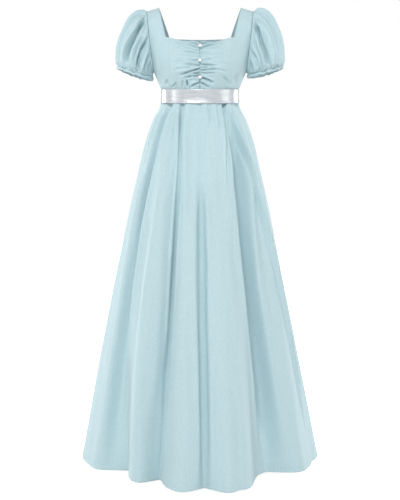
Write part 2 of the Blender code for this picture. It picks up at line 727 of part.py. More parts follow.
def buttons():
    """Three round pearls, sewn on the centre front seam."""
    rings, around = 7, 14
    for name, height in BUTTONS:
        centre = Vector((0.0, -button_seat(height), height))
        points = [centre + Vector((0.0, -BUTTON_HALF_THICKNESS, 0.0))]
        for ring in range(1, rings):
            tilt = math.pi * ring / rings
            for step in range(around):
                turn = 2.0 * math.pi * step / around
                across = BUTTON_RADIUS * math.sin(tilt)
                points.append(
                    centre
                    + Vector(
                        (
                            across * math.cos(turn),
                            -BUTTON_HALF_THICKNESS * math.cos(tilt),
                            across * math.sin(turn),
                        )
                    )
                )
        points.append(centre + Vector((0.0, BUTTON_HALF_THICKNESS, 0.0)))
        faces = []
        end = len(points) - 1
        for step in range(around):
            beside = (step + 1) % around
            faces.append([0, 1 + step, 1 + beside])
            last_ring = 1 + (rings - 2) * around
            faces.append([end, last_ring + beside, last_ring + step])
            for ring in range(rings - 2):
                low = 1 + ring * around
                faces.append([low + step, low + around + step, low + around + beside, low + beside])
        mesh = bpy.data.meshes.new(name)
        mesh.from_pydata(points, [], faces)
        mesh.materials.append(PEARL_MATERIAL)
        mesh.shade_smooth()
        obj = bpy.data.objects.new(name, mesh)
        bpy.context.scene.collection.objects.link(obj)


clear_scene()
CLOTH_MATERIAL = make_material("gown_cloth", PALE_BLUE, 0.85)
RIBBON_MATERIAL = make_material("satin_ribbon", SILVER_WHITE, 0.35)
PEARL_MATERIAL = make_material("pearl", PEARL_WHITE, 0.25)
bodice_panels()
sleeve_and_cuff(*SLEEVE_SETS[0], LEFT_SLEEVE_VALLEYS, mirror=False)
sleeve_and_cuff(*SLEEVE_SETS[1], RIGHT_SLEEVE_VALLEYS, mirror=True)
skirt_panels()
belt()
buttons()
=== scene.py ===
import math

import bpy
import numpy as np
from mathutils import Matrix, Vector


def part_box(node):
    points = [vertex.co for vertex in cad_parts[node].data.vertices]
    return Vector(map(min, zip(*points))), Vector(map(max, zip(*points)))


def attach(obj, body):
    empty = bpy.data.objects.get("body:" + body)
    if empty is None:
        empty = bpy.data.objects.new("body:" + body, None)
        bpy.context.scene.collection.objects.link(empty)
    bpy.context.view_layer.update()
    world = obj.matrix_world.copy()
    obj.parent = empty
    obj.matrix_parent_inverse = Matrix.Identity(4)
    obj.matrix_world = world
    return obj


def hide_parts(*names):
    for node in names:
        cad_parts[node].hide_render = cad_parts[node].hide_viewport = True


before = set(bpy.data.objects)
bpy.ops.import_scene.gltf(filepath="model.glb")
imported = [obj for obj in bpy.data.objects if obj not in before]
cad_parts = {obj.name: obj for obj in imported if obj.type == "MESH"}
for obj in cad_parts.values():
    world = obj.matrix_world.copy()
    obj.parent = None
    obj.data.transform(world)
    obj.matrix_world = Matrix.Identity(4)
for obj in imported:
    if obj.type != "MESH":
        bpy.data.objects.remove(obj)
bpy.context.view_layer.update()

# Bodice. Two fronts and two backs of matt crinkled crepe, each cut in one with its half of the shoulder
# straps. The fronts are gathered up along the centre front seam, and the neckline's edge is turned in and
# stitched down. The halves are sewn together at the centre, the sides and the shoulders.

MM = 0.001
WAIST_HEIGHT = -0.266  # the raised waist seam at the sides, under the belt
WAIST_TILT = 0.008  # it is this much lower in front and higher behind
BELT_WIDTH = 0.042
CREPE_THICKNESS = 0.0009
SEAM_GAP = 0.0003

FRONT_LEVELS = (
    # name, centre_z, strap_z, edge_z, depth, squareness, strap_x
    ("waist seam", -0.2740, -0.2715, -0.2660, 0.0990, 2.20, 0.0780),
    ("belt top", -0.2530, -0.2500, -0.2450, 0.1000, 2.20, 0.0810),
    ("under bust", -0.2290, -0.2260, -0.2240, 0.1080, 2.25, 0.0860),
    ("bust point", -0.1900, -0.1880, -0.1925, 0.1170, 2.30, 0.0920),
    ("upper bust", -0.1510, -0.1400, -0.1500, 0.1130, 2.25, 0.0950),
    ("neckline", -0.1115, -0.0950, -0.1050, 0.0990, 2.10, 0.1033),
    ("strap low", -0.0620, -0.0640, -0.0660, 0.0790, 2.00, 0.1105),
    ("strap middle", -0.0220, -0.0250, -0.0320, 0.0560, 2.00, 0.1194),
    ("strap high", -0.0020, -0.0030, -0.0130, 0.0310, 2.00, 0.1247),
    ("shoulder seam", 0.0040, 0.0040, -0.0075, 0.0000, 2.00, 0.1258),
)
BACK_LEVELS = (
    # name, centre_z, strap_z, edge_z, depth, squareness, strap_x
    ("waist seam", -0.2580, -0.2605, -0.2660, 0.0880, 2.20, 0.0780),
    ("belt top", -0.2370, -0.2395, -0.2450, 0.0888, 2.20, 0.0800),
    ("under bust", -0.2180, -0.2200, -0.2240, 0.0930, 2.30, 0.0820),
    ("bust point", -0.1860, -0.1870, -0.1925, 0.1000, 2.40, 0.0840),
    ("upper bust", -0.1380, -0.1380, -0.1480, 0.1050, 2.40, 0.0860),
    ("neckline", -0.0815, -0.0800, -0.0900, 0.0950, 2.20, 0.0965),
    ("strap low", -0.0520, -0.0540, -0.0580, 0.0780, 2.00, 0.1043),
    ("strap middle", -0.0210, -0.0230, -0.0300, 0.0560, 2.00, 0.1155),
    ("strap high", -0.0020, -0.0030, -0.0130, 0.0310, 2.00, 0.1228),
    ("shoulder seam", 0.0040, 0.0040, -0.0075, 0.0000, 2.00, 0.1258),
)
NECK_LEVEL = 5
ARMPIT_LEVEL = 3
SIDE_HALF_WIDTHS = (0.1180, 0.1188, 0.1290, 0.1420)
ROW_BOW = 1.6  # how each row rises from the centre seam to the strap's edge
INNER_COLUMNS, OUTER_COLUMNS = 74, 27  # of points, up to the strap's inner edge and past it
LOWER_ROWS, UPPER_ROWS = 128, 64  # of points, up to the neckline and past it

ARMHOLE_X, ARMHOLE_Z = 0.1525, -0.1000
ARMHOLE_HALF_HEIGHT, ARMHOLE_HALF_DEPTH = 0.0925, 0.0560
ARMHOLE_LEAN = 0.113

CUP_X, CUP_Z = 0.062, -0.186
CUP_OUT = 0.018
CUP_HALF_WIDTH, CUP_HALF_HEIGHT = 0.036, 0.034

# Creases drawn up by the gathers of the centre front seam: the (x, z) places where they show, width and
# depth, all in mm
CREASES_ON_LEFT = (
    (((2, -117.5), (29, -112.5), (56, -105.5), (86, -99.5)), 3.6, 3.4),
    (((2, -133), (26, -123.5), (55, -114), (76, -108.5)), 3.4, 2.8),
    (((2, -146), (22, -143), (40, -139.5)), 2.8, 1.8),
    (((2, -157.5), (16, -156), (30, -154)), 2.6, 1.2),
    (((2, -169), (25, -167.2), (50, -166.5)), 2.8, 2),
    (((2, -180), (29, -183.1), (63, -186.8)), 3, 2.3),
    (((2, -190.5), (18, -191.2), (34, -190.5)), 2.4, 1.4),
    (((2, -197.5), (29, -197.6), (56, -195.8)), 2.8, 2.1),
    (((2, -206), (29, -206), (52, -207.8)), 2.6, 1.7),
    (((2, -218), (25, -227.5), (46, -237.2)), 3.2, 2.9),
    (((2, -233), (15, -241), (31, -249)), 2.8, 2.4),
    (((70, -218), (82, -228), (90, -240)), 4, 1.2),
    (((112, -208), (108, -222), (106, -240)), 4, 1.4),
    (((12, -140), (50, -130), (92, -122.5)), 3, 1.1),
    (((12, -152), (52, -149), (98, -147)), 3, 1),
    (((12, -164), (56, -161), (94, -159)), 3, 1),
    (((20, -174), (60, -176), (96, -180)), 3.2, 1),
    (((30, -193), (62, -199), (90, -206)), 3.2, 1.1),
)
CREASES_ON_RIGHT = (
    (((-12, -139), (-52, -129), (-94, -120)), 3, 1.1),
    (((-12, -154), (-54, -153), (-98, -156)), 3, 1.1),
    (((-16, -162.5), (-58, -161), (-96, -164)), 3, 0.9),
    (((-30, -172), (-64, -173.5), (-94, -177)), 3, 1),
    (((-30, -190), (-60, -195), (-92, -201)), 3.2, 1),
    (((-2, -120), (-29, -114.2), (-58, -106.4), (-87, -98.5)), 3.4, 2.8),
    (((-2, -131), (-30, -122.2), (-60, -113), (-83, -107)), 3.4, 2.3),
    (((-2, -148), (-32, -144), (-66, -143)), 3, 2),
    (((-2, -159), (-15, -158), (-28, -159)), 2.4, 1.2),
    (((-2, -168.5), (-29, -167.4), (-60, -167.7)), 2.8, 2.1),
    (((-2, -176.5), (-16, -174.8), (-30, -174.5)), 2.4, 1.3),
    (((-2, -183), (-29, -181.5), (-59, -181.2)), 2.8, 2.1),
    (((-2, -193.5), (-28, -202.2), (-47, -208.6), (-68, -218.2)), 3.2, 3.1),
    (((-2, -204.5), (-22, -208.5), (-40, -213)), 2.6, 1.8),
    (((-2, -213.5), (-29, -216), (-52, -219.6)), 2.8, 2.3),
    (((-2, -234), (-18, -239.8), (-33, -250)), 3, 2.8),
    (((-40, -227), (-37, -239), (-35, -249)), 2.6, 2.8),
    (((-52, -230), (-50, -240), (-52, -248)), 3, 1.2),
    (((-100, -223), (-101, -231), (-99, -239)), 2.2, 1.8),
    (((-72, -233), (-78, -240), (-86, -244)), 2.6, 1.6),
)
CREASES_BEHIND = (
    (((100, -155), (85, -170), (66, -182)), 6, 1.4),
    (((112, -180), (96, -196), (80, -208)), 5, 1.6),
    (((86, -212), (82, -222), (84, -236)), 4, 1.8),
    (((40, -208), (38, -218), (41, -232)), 4, 1.4),
    (((12, -120), (13, -150), (10, -190)), 6, 1),
    (((50, -88), (58, -105), (74, -118)), 6, 1),
)
CREASE_STRENGTH = 3.1
# Short puckers beside the centre front seam, by height in mm. Their depths are taken in turn.
PUCKERS_ON_LEFT = (-124, -138.5, -152, -163.5, -174.2, -185, -201.5, -211.5, -224, -238)
PUCKERS_ON_RIGHT = (-125.5, -140, -153, -164, -172.5, -188, -199, -209, -220, -229)
PUCKER_DEPTHS = (0.0036, 0.0046, 0.0056)
PUCKER_REACH, PUCKER_HALF_WIDTH = 0.006, 0.0021
FRONT_SEAM_PULL, BACK_SEAM_PULL = 0.0048, 0.0008  # how far in the centre seam pulls the cloth
SEAM_HALF_WIDTH = 0.0021
BLOUSE_OUT = 0.0022  # how far the cloth stands out just over the belt
NECK_EDGE_ROUNDING, NECK_STITCH_DIP, NECK_STITCH_INSET = 0.0010, 0.0004, 0.0075
BODICE_UNEVEN = 0.0005


def ease(share):
    """0 to 1 with a level start and end."""
    share = np.clip(share, 0.0, 1.0)
    return share * share * (3.0 - 2.0 * share)


def blend(first, last, share):
    return first + (last - first) * share


def bell(away, width):
    """1 in the middle, and falling to nothing at a few widths away."""
    return np.exp(-((away / width) ** 2))


def trough(away, width):
    """Depth of a crease at a distance from its middle: 1 at the bottom, with a low lip on either side."""
    share = np.abs(away) / width
    return bell(share, 1.0) - 0.36 * bell(share - 1.9, 0.75)


def smooth_read(keys, values, at):
    """Values on a smooth curve through the values, which stand at rising or falling keys."""
    keys, values, at = (np.asarray(item, float) for item in (keys, values, at))
    if keys[0] > keys[-1]:
        keys, at = -keys, -at
    steps = np.diff(values) / np.diff(keys)
    together = steps[:-1] * steps[1:]
    rising = together > 0.0
    middle = np.where(rising, 2.0 * together / np.where(rising, steps[:-1] + steps[1:], 1.0), 0.0)
    slopes = np.concatenate([steps[:1], middle, steps[-1:]])
    index = np.clip(np.searchsorted(keys, at) - 1, 0, len(keys) - 2)
    span = keys[index + 1] - keys[index]
    share = np.clip((at - keys[index]) / span, 0.0, 1.0)
    square, cube = share**2, share**3
    return (
        (2 * cube - 3 * square + 1) * values[index]
        + (cube - 2 * square + share) * span * slopes[index]
        + (3 * square - 2 * cube) * values[index + 1]
        + (cube - square) * span * slopes[index + 1]
    )


def read_fields(rows, keys, fields, at):
    """Fields of a table's rows, each read on a smooth curve at the same place."""
    return [smooth_read(keys, [row[field] for row in rows], at) for field in fields]


def oval_radius(angle, half_width, front, back, squareness):
    """Distance out from the middle of a squarish oval, at an angle from the centre front."""
    depth = np.where(np.cos(angle) >= 0.0, front, back)
    across = (np.abs(np.sin(angle)) / half_width) ** squareness
    along = (np.abs(np.cos(angle)) / depth) ** squareness
    return (across + along) ** (-1.0 / squareness)


def cloth_quads(points, ring=False):
    """Corners of each square of a grid whose rows go up and run left to right seen from outside."""
    rows, columns = points.shape[:2]
    last = columns if ring else columns - 1
    row, column = np.meshgrid(np.arange(rows - 1), np.arange(last), indexing="ij")
    beside = (column + 1) % columns
    corners = [row * columns + column, row * columns + beside]
    corners += [(row + 1) * columns + beside, (row + 1) * columns + column]
    quads = np.stack(corners, axis=-1).reshape(-1, 4)
    whole = ~np.isnan(points.reshape(-1, 3)[quads]).any(axis=(1, 2))
    return quads, whole, column.reshape(-1)


def cloth_normals(points, ring=False):
    """The outward normal at each point of the grid."""
    quads, whole, _ = cloth_quads(points, ring)
    quads = quads[whole]
    flat = points.reshape(-1, 3)
    facing = np.cross(flat[quads[:, 2]] - flat[quads[:, 0]], flat[quads[:, 3]] - flat[quads[:, 1]])
    total = np.zeros_like(flat)
    for corner in range(4):
        np.add.at(total, quads[:, corner], facing)
    length = np.linalg.norm(total, axis=1, keepdims=True)
    return (total / np.where(length > 0.0, length, 1.0)).reshape(points.shape)


def cloth_lengths(points, ring=False):
    """UV of each point, in metres along the rows and up the columns."""
    steps = np.diff(points, axis=1, append=points[:, :1] if ring else points[:, -1:])
    along = np.linalg.norm(steps, axis=2)
    for row in range(1, len(along)):
        along[row] = np.where(np.isnan(along[row]), along[row - 1], along[row])
    across = np.concatenate([np.zeros((len(along), 1)), np.cumsum(along, axis=1)], axis=1)
    across -= across[:, along.shape[1] // 2][:, None]
    rises = np.nan_to_num(np.linalg.norm(np.diff(points, axis=0), axis=2))
    up = np.concatenate([[0.0], np.cumsum(rises.max(axis=1))])
    return np.stack([across, np.broadcast_to(up[:, None], across.shape)], axis=-1)


def new_object(name, data):
    """An object at the origin, in the scene."""
    made = bpy.data.objects.new(name, data)
    bpy.context.scene.collection.objects.link(made)
    return made


def cloth_shell(name, outer, thickness, material, ring=False):
    """A thin closed shell with the grid as its outer side and a UV map in metres along its threads."""
    quads, whole, column = cloth_quads(outer, ring)
    columns = outer.shape[1]
    quads, column = quads[whole], column[whole]
    uv_columns = np.stack([column, column + 1, column + 1, column], axis=-1)
    outer_uv = cloth_lengths(outer, ring)[quads // columns, uv_columns]
    count = outer.shape[0] * columns
    # An edge of only one square is on the rim.
    starts, ends = quads.reshape(-1), np.roll(quads, -1, axis=1).reshape(-1)
    lonely = ~np.isin(starts * count + ends, ends * count + starts)
    starts, ends = starts[lonely], ends[lonely]
    start_uv = outer_uv.reshape(-1, 2)[lonely]
    end_uv = np.roll(outer_uv, -1, axis=1).reshape(-1, 2)[lonely]
    rim = np.stack([ends, starts, starts + count, ends + count], axis=-1)
    rim_uv = np.stack([end_uv, start_uv, start_uv, end_uv], axis=1)
    faces = np.concatenate([quads, quads[:, ::-1] + count, rim])
    uv = np.concatenate([outer_uv, outer_uv[:, ::-1], rim_uv])
    inner = outer - cloth_normals(outer, ring) * thickness
    points = np.concatenate([outer.reshape(-1, 3), inner.reshape(-1, 3)])
    used, faces = np.unique(faces, return_inverse=True)
    mesh = bpy.data.meshes.new(name)
    mesh.from_pydata(points[used].tolist(), [], faces.reshape(-1, 4).tolist())
    mesh.uv_layers.new(name="cloth").data.foreach_set("uv", uv.astype(np.float32).reshape(-1))
    mesh.materials.append(material)
    mesh.shade_smooth()
    return new_object(name, mesh)


def drawn_creases(points, creases, mirror):
    """How far creases drawn as (x, z) paths move the cloth in. They are deepest near the path's start."""
    depth_in = np.zeros(points.shape[:2])
    places = np.linspace(0.0, 1.0, 33)
    for path, width, depth in creases:
        keys = np.linspace(0.0, 1.0, len(path))
        path_x, path_z = read_fields(np.array(path) * (mirror * MM, MM), keys, (0, 1), places)
        away = np.hypot(points[..., 0, None] - path_x, points[..., 2, None] - path_z)
        nearest = np.nan_to_num(away, nan=1.0).argmin(axis=2)
        along = places[nearest]
        away = np.take_along_axis(away, nearest[..., None], axis=2)[..., 0]
        fade = ease(along / 0.10 + 0.5) * (1.0 - ease((along - 0.50) / 0.50))
        depth_in += CREASE_STRENGTH * depth * MM * fade * trough(away, width * MM * blend(0.75, 1.35, along))
    return depth_in


def bodice_row(levels, side, level, across):
    """One row of a bodice half on the wearer's left. side is -1 in front and 1 behind.

    across is 0 at the centre seam, 1 at the strap's inner edge and 2 at the side seam or armhole.
    """
    fields = read_fields(levels, range(len(levels)), range(1, 7), level)
    centre_z, strap_z, edge_z, depth, squareness, strap_x = (float(field) for field in fields)
    past_strap = np.clip(across - 1.0, 0.0, 1.0)
    if level <= ARMPIT_LEVEL:
        edge_x = float(smooth_read(range(ARMPIT_LEVEL + 1), SIDE_HALF_WIDTHS, level))
        edge_y = 0.0
    else:
        up = min(max((edge_z - ARMHOLE_Z) / ARMHOLE_HALF_HEIGHT, -1.0), 1.0)
        edge_x = ARMHOLE_X + ARMHOLE_LEAN * (edge_z - ARMHOLE_Z)
        edge_y = ARMHOLE_HALF_DEPTH * math.sqrt(1.0 - up * up)
    if level >= len(levels) - 1 - 1e-9:
        x = blend(strap_x, edge_x, past_strap)
        return np.stack([x, x * 0.0, blend(strap_z, edge_z, past_strap)], axis=-1)
    depth = max(depth, edge_y * 1.02)
    half_width = edge_x / (1.0 - (edge_y / depth) ** squareness) ** (1.0 / squareness)

    def on_section(x):
        inside = np.maximum(1.0 - (x / half_width) ** squareness, 0.0)
        return np.arctan2(x, depth * inside ** (1.0 / squareness))

    angle = np.where(
        across <= 1.0,
        on_section(strap_x * np.minimum(across, 1.0)),
        blend(on_section(strap_x), math.atan2(edge_x, edge_y), past_strap),
    )
    radius = oval_radius(angle, half_width, depth, depth, squareness)
    x, y = radius * np.sin(angle), radius * np.cos(angle)
    bowed = blend(centre_z, strap_z, np.clip(x / strap_x, 0.0, 1.0) ** ROW_BOW)
    z = np.where(past_strap > 0.0, blend(strap_z, edge_z, past_strap), bowed)
    level_z = WAIST_HEIGHT + side * WAIST_TILT * np.cos(angle)
    z = blend(level_z, z, ease(level / 0.5))
    if side < 0.0:
        cup = ((x - CUP_X) / CUP_HALF_WIDTH) ** 2 + ((z - CUP_Z) / CUP_HALF_HEIGHT) ** 2
        y = y + CUP_OUT * np.exp(-0.5 * cup) * ease((level - 0.9) / 1.1) * (1.0 - ease(past_strap * 0.8))
    return np.stack([x, side * y, z], axis=-1)


def bodice_half(levels, side, creases, puckers, mirror=1.0):
    """Grid of points of one half on the wearer's left, with its creases pressed in, and its side seam last.

    mirror is -1 where the creases and puckers are those of the wearer's right.
    """
    inner, outer = np.linspace(0.0, 1.0, INNER_COLUMNS) ** 1.15, np.linspace(1.0, 2.0, OUTER_COLUMNS)[1:]
    columns = np.concatenate([inner, outer])
    last = len(levels) - 1
    lower, upper = np.linspace(0.0, NECK_LEVEL, LOWER_ROWS), np.linspace(NECK_LEVEL, last, UPPER_ROWS)[1:]
    heights = np.concatenate([lower, upper])
    grid = np.stack([bodice_row(levels, side, level, columns) for level in heights])
    heights = heights[:, None]
    grid[(heights > NECK_LEVEL + 1e-9) & (columns < 1.0 - 1e-9)] = np.nan
    x, z = grid[..., 0], grid[..., 2]
    moved_in = drawn_creases(grid, creases, mirror)
    near_seam = (x / PUCKER_REACH) * np.exp(1.0 - x / PUCKER_REACH)
    for number, pucker in enumerate(puckers):
        depth = PUCKER_DEPTHS[number % len(PUCKER_DEPTHS)]
        moved_in += depth * near_seam * bell(z - pucker * MM - 0.12 * x, PUCKER_HALF_WIDTH)
    moved_in += (FRONT_SEAM_PULL if side < 0.0 else BACK_SEAM_PULL) * bell(x, SEAM_HALF_WIDTH)
    moved_in -= BLOUSE_OUT * ease((heights - 1.0) / 0.35) * (1.0 - ease((heights - 1.35) / 0.65))
    neck_edge = np.where(columns < 1.0, (NECK_LEVEL - heights) * 0.030, (columns - 1.0) * 0.048)
    moved_in += NECK_EDGE_ROUNDING * bell(neck_edge, 0.0022)
    moved_in += NECK_STITCH_DIP * bell(neck_edge - NECK_STITCH_INSET, 0.0012)
    moved_in += BODICE_UNEVEN * np.sin(61.0 * x + 19.0 * z) * np.sin(83.0 * z - 27.0 * x + 1.0)
    # The seams hold their lines.
    moved_in *= ease((2.0 - columns) / 0.10) * ease(heights / 0.4) * ease((last - heights) / 0.3)
    if side > 0.0:
        moved_in *= ease(columns / 0.02)
    normals = cloth_normals(grid) if side < 0.0 else cloth_normals(grid[:, ::-1])[:, ::-1]
    grid = grid - normals * moved_in[..., None]
    grid[:, columns < 1e-9, 0] = SEAM_GAP / 2.0
    return grid


def flipped(grid):
    """The same grid on the wearer's right, with its rows still left to right."""
    return grid[:, ::-1] * np.array([-1.0, 1.0, 1.0])


def fill_inputs(tree, node, inputs):
    """Set a node's inputs to values, outputs of other nodes, or nodes, which give their first output."""
    for name, value in inputs.items():
        if isinstance(value, bpy.types.Node):
            value = value.outputs[0]
        if isinstance(value, bpy.types.NodeSocket):
            tree.links.new(value, node.inputs[name])
        else:
            node.inputs[name].default_value = value


def add_node(tree, kind, inputs=None, **settings):
    """A node with its settings and inputs."""
    node = tree.nodes.new(kind)
    for name, value in settings.items():
        setattr(node, name, value)
    fill_inputs(tree, node, inputs or {})
    return node


def new_group(name, kind, inputs, outputs):
    """A node group, its inputs, its output node, and the identifier of each socket."""
    tree = bpy.data.node_groups.new(name, kind)
    identifiers = {}
    for sockets, direction in ((inputs, "INPUT"), (outputs, "OUTPUT")):
        for label, value_type in sockets.items():
            made = tree.interface.new_socket(label, in_out=direction, socket_type="NodeSocket" + value_type)
            identifiers[label] = made.identifier
    return tree, add_node(tree, "NodeGroupInput").outputs, add_node(tree, "NodeGroupOutput"), identifiers


def new_material(name):
    material = bpy.data.materials.new(name)
    material.use_nodes = True
    return material, material.node_tree, material.node_tree.nodes["Principled BSDF"]


def two_shades(tree, factor, dark, light, start=0.0, end=1.0):
    """Two shades of a colour, mixed as the factor goes from start to end."""
    ramp = add_node(tree, "ShaderNodeValToRGB", {"Fac": factor})
    for element, place, colour in zip(ramp.color_ramp.elements, (start, end), (dark, light)):
        element.position = place
        element.color = (*colour, 1.0)
    return ramp


def stretched(tree, place, scale):
    return add_node(tree, "ShaderNodeMapping", {"Vector": place, "Scale": scale})


def noise(tree, place, scale, detail, roughness=0.5, distortion=0.0):
    inputs = {"Vector": place, "Scale": scale, "Detail": detail}
    inputs.update({"Roughness": roughness, "Distortion": distortion})
    return add_node(tree, "ShaderNodeTexNoise", inputs)


def maths(tree, operation, *values):
    return add_node(tree, "ShaderNodeMath", dict(enumerate(values)), operation=operation)


# Crepe's pebbled, slightly crinkled surface and its slubs. It goes by the cloth's own UV map, in metres.
weave, weave_in, weave_out, _ = new_group(
    "crepe weave",
    "ShaderNodeTree",
    {"Cloth place": "Vector", "Pebbles in a metre": "Float", "Slub strength": "Float"},
    {"Height": "Float", "Shade": "Float"},
)
crinkled = stretched(weave, weave_in["Cloth place"], (1.0, 0.55, 1.0))
pebbles = noise(weave, crinkled, weave_in["Pebbles in a metre"], 2.0, 0.6)
slubs = noise(weave, stretched(weave, weave_in["Cloth place"], (240.0, 16.0, 1.0)), 1.0, 3.0, 0.55)
mottle = noise(weave, crinkled, 190.0, 3.0, 0.6)
slub_height = maths(weave, "MULTIPLY", slubs, weave_in["Slub strength"])
height = maths(weave, "ADD", pebbles, slub_height)
shade = maths(weave, "ADD", mottle, slub_height)
fill_inputs(weave, weave_out, {"Height": height, "Shade": shade})

# Matt crepe: two close shades of pale blue, and a pebbled surface
CREPE, crepe, crepe_shader = new_material("pale blue crepe")
crepe_weave = add_node(crepe, "ShaderNodeGroup", node_tree=weave)
crepe_uv = add_node(crepe, "ShaderNodeUVMap", uv_map="cloth")
fill_inputs(crepe, crepe_weave, {"Cloth place": crepe_uv, "Pebbles in a metre": 620.0, "Slub strength": 0.45})
crepe_bump = {"Height": crepe_weave.outputs["Height"], "Distance": 0.0010, "Strength": 0.55}
crepe_look = {
    "Base Color": two_shades(
        crepe, crepe_weave.outputs["Shade"], (0.450, 0.607, 0.649), (0.512, 0.670, 0.712), 0.45, 1.00
    ),
    "Normal": add_node(crepe, "ShaderNodeBump", crepe_bump),
    "Roughness": 0.82,
    "Specular IOR Level": 0.25,
    "Sheen Weight": 0.22,
    "Sheen Roughness": 0.45,
}
fill_inputs(crepe, crepe_shader, crepe_look)

fronts = {
    "left": bodice_half(FRONT_LEVELS, -1.0, CREASES_ON_LEFT, PUCKERS_ON_LEFT),
    "right": bodice_half(FRONT_LEVELS, -1.0, CREASES_ON_RIGHT, PUCKERS_ON_RIGHT, mirror=-1.0),
}
back = bodice_half(BACK_LEVELS, 1.0, CREASES_BEHIND, ())
for hand in ("left", "right"):
    front_grid = fronts[hand] if hand == "left" else flipped(fronts[hand])
    back_grid = back[:, ::-1] if hand == "left" else flipped(back[:, ::-1])
    for part_name, grid, flat, area, held in (
        ("front", front_grid, (0.215, 0.330), 0.043, "gathered"),
        ("back", back_grid, (0.150, 0.275), 0.031, "stretched"),
    ):
        piece = cloth_shell(f"bodice_{part_name}_{hand}_cloth", grid, CREPE_THICKNESS, CREPE)
        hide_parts(f"bodice_{part_name}_{hand}")
        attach(piece, "root")

# Puffed sleeves. Each is one piece of the same crepe, sewn to a tube under the arm, gathered into the armhole
# and gathered again into a narrow casing, which an elastic draws in round the arm.

SLEEVE_RINGS = (
    # name, outer_x, outer_z, inner_x, inner_z, half_depth, sag
    ("armhole", 0.1630, -0.0075, 0.1420, -0.1925, 0.0560, 0.0000),
    ("head", 0.1740, -0.0025, 0.1436, -0.1952, 0.0600, 0.0000),
    ("crown", 0.1930, -0.0045, 0.1448, -0.1972, 0.0655, 0.0000),
    ("shoulder", 0.2150, -0.0210, 0.1454, -0.1990, 0.0705, 0.0000),
    ("upper", 0.2360, -0.0550, 0.1456, -0.2006, 0.0740, 0.0004),
    ("middle", 0.2520, -0.0920, 0.1454, -0.2022, 0.0755, 0.0010),
    ("full", 0.2610, -0.1260, 0.1448, -0.2038, 0.0745, 0.0020),
    ("low", 0.2630, -0.1510, 0.1440, -0.2054, 0.0690, 0.0032),
    ("gathered", 0.2600, -0.1670, 0.1432, -0.2068, 0.0590, 0.0042),
    ("cuff seam", 0.2560, -0.1735, 0.1426, -0.2080, 0.0520, 0.0046),
)
SLIMMING_END = 1.35
UNDERARM_OUT = 0.4
CUFF_DROP = 0.0090
CASING_THICKNESS = 0.0013
CASING_ROWS, CASING_STITCH_ROW = 11, 8
CASING_TUCKS = 34
CASING_SWELL, CASING_INSET, CASING_TUCK_DEPTH = 0.0011, 0.0006, 0.0026

# Valleys of the folds: head and cuff angle, and depth at the head, between and at the cuff in mm. 0 degrees is
# the sleeve's outer line, 90 the front and 180 the underarm.
RIGHT_SLEEVE_VALLEYS = (
    (-150, -152, 1, 4, 3.5),
    (-112, -118, 1.5, 8, 4.5),
    (-78, -88, 3.5, 10, 5),
    (-52, -58, 5, 6, 5),
    (-26, -30, 5.5, 8, 5),
    (-6, -4, 5, 4, 4.5),
    (14, 20, 6, 4.5, 5),
    (34, 42, 6, 5, 5),
    (60, 72, 6, 13.5, 6),
    (92, 104, 1, 11, 6),
    (142, 146, 1, 5, 3.5),
)
LEFT_SLEEVE_VALLEYS = (
    (-148, -150, 1, 4, 3.5),
    (-108, -116, 2, 9, 4.5),
    (-74, -84, 3, 5.5, 5),
    (-48, -56, 5, 10, 5),
    (-24, -28, 5.5, 4.5, 5),
    (-6, -8, 5, 5, 4.5),
    (26, 30, 6, 3.5, 4.5),
    (44, 50, 6, 5, 5),
    (66, 88, 6, 12.5, 6),
    (106, 116, 1, 6, 5),
    (142, 148, 1, 6, 4.5),
)
# Creases down the sleeve: a path of (degrees, share of the way from armhole to cuff), width and depth in mm.
# A depth below 0 is a ridge.
RIGHT_SLEEVE_CREASES = (
    (((40, 0), (60, 0.18), (72, 0.36), (70, 0.6), (64, 0.9)), 6.6, 25),
    (((28, 0.02), (33, 0.3), (36, 0.5), (42, 0.95)), 4.5, 5.5),
    (((86, 0.02), (103, 0.26), (108, 0.56), (102, 0.98)), 6.2, 20.5),
    (((76, 0.02), (86, 0.3), (87, 0.6), (82, 0.98)), 6, -6.8),
    (((118, 0.04), (128, 0.4), (132, 0.95)), 5, 4.6),
    (((2, 0.25), (6, 0.6), (8, 1)), 4.6, 5),
    (((-18, 0.02), (-14, 0.4), (-16, 0.8)), 5, 2.2),
    (((-38, 0.15), (-42, 0.5), (-44, 0.98)), 6, 3),
    (((-66, 0.05), (-70, 0.45), (-74, 0.9)), 6, 2.6),
    (((-96, 0.1), (-101, 0.5), (-104, 1)), 6, 3),
    (((-130, 0.2), (-134, 0.6), (-136, 1)), 6, 2.4),
)
LEFT_SLEEVE_CREASES = (
    (((56, 0.02), (72, 0.2), (88, 0.4), (90, 0.62), (84, 0.92)), 6.8, 24),
    (((34, 0.16), (40, 0.44), (48, 0.74)), 5.2, 12),
    (((22, 0.02), (12, 0.18), (9, 0.32), (11, 0.45), (16, 0.75)), 4.8, -8),
    (((-2, 0.1), (0, 0.4), (2, 0.8)), 4.5, 5),
    (((58, 0.5), (62, 0.75), (66, 1)), 4.2, 6),
    (((76, 0.1), (98, 0.3), (104, 0.6), (100, 0.9)), 6, -2.4),
    (((104, 0.02), (120, 0.3), (124, 0.8)), 5, 10),
    (((112, 0.55), (114, 0.75), (112, 0.98)), 4, 2.4),
    (((124, 0.5), (127, 0.7), (124, 0.95)), 3.6, 2),
    (((-36, 0.05), (-38, 0.5), (-40, 0.95)), 6, 3),
    (((-62, 0.15), (-66, 0.5), (-70, 0.98)), 6, 2.6),
    (((-92, 0.05), (-98, 0.45), (-102, 0.9)), 6, 3),
    (((-128, 0.2), (-132, 0.6), (-134, 1)), 6, 2.4),
)
SLEEVE_STEPS = 26  # columns of points from one valley to the next
SLEEVE_ROWS = 96
SLEEVE_RADIUS, HEAD_RADIUS, CUFF_RADIUS = 0.068, 0.060, 0.052
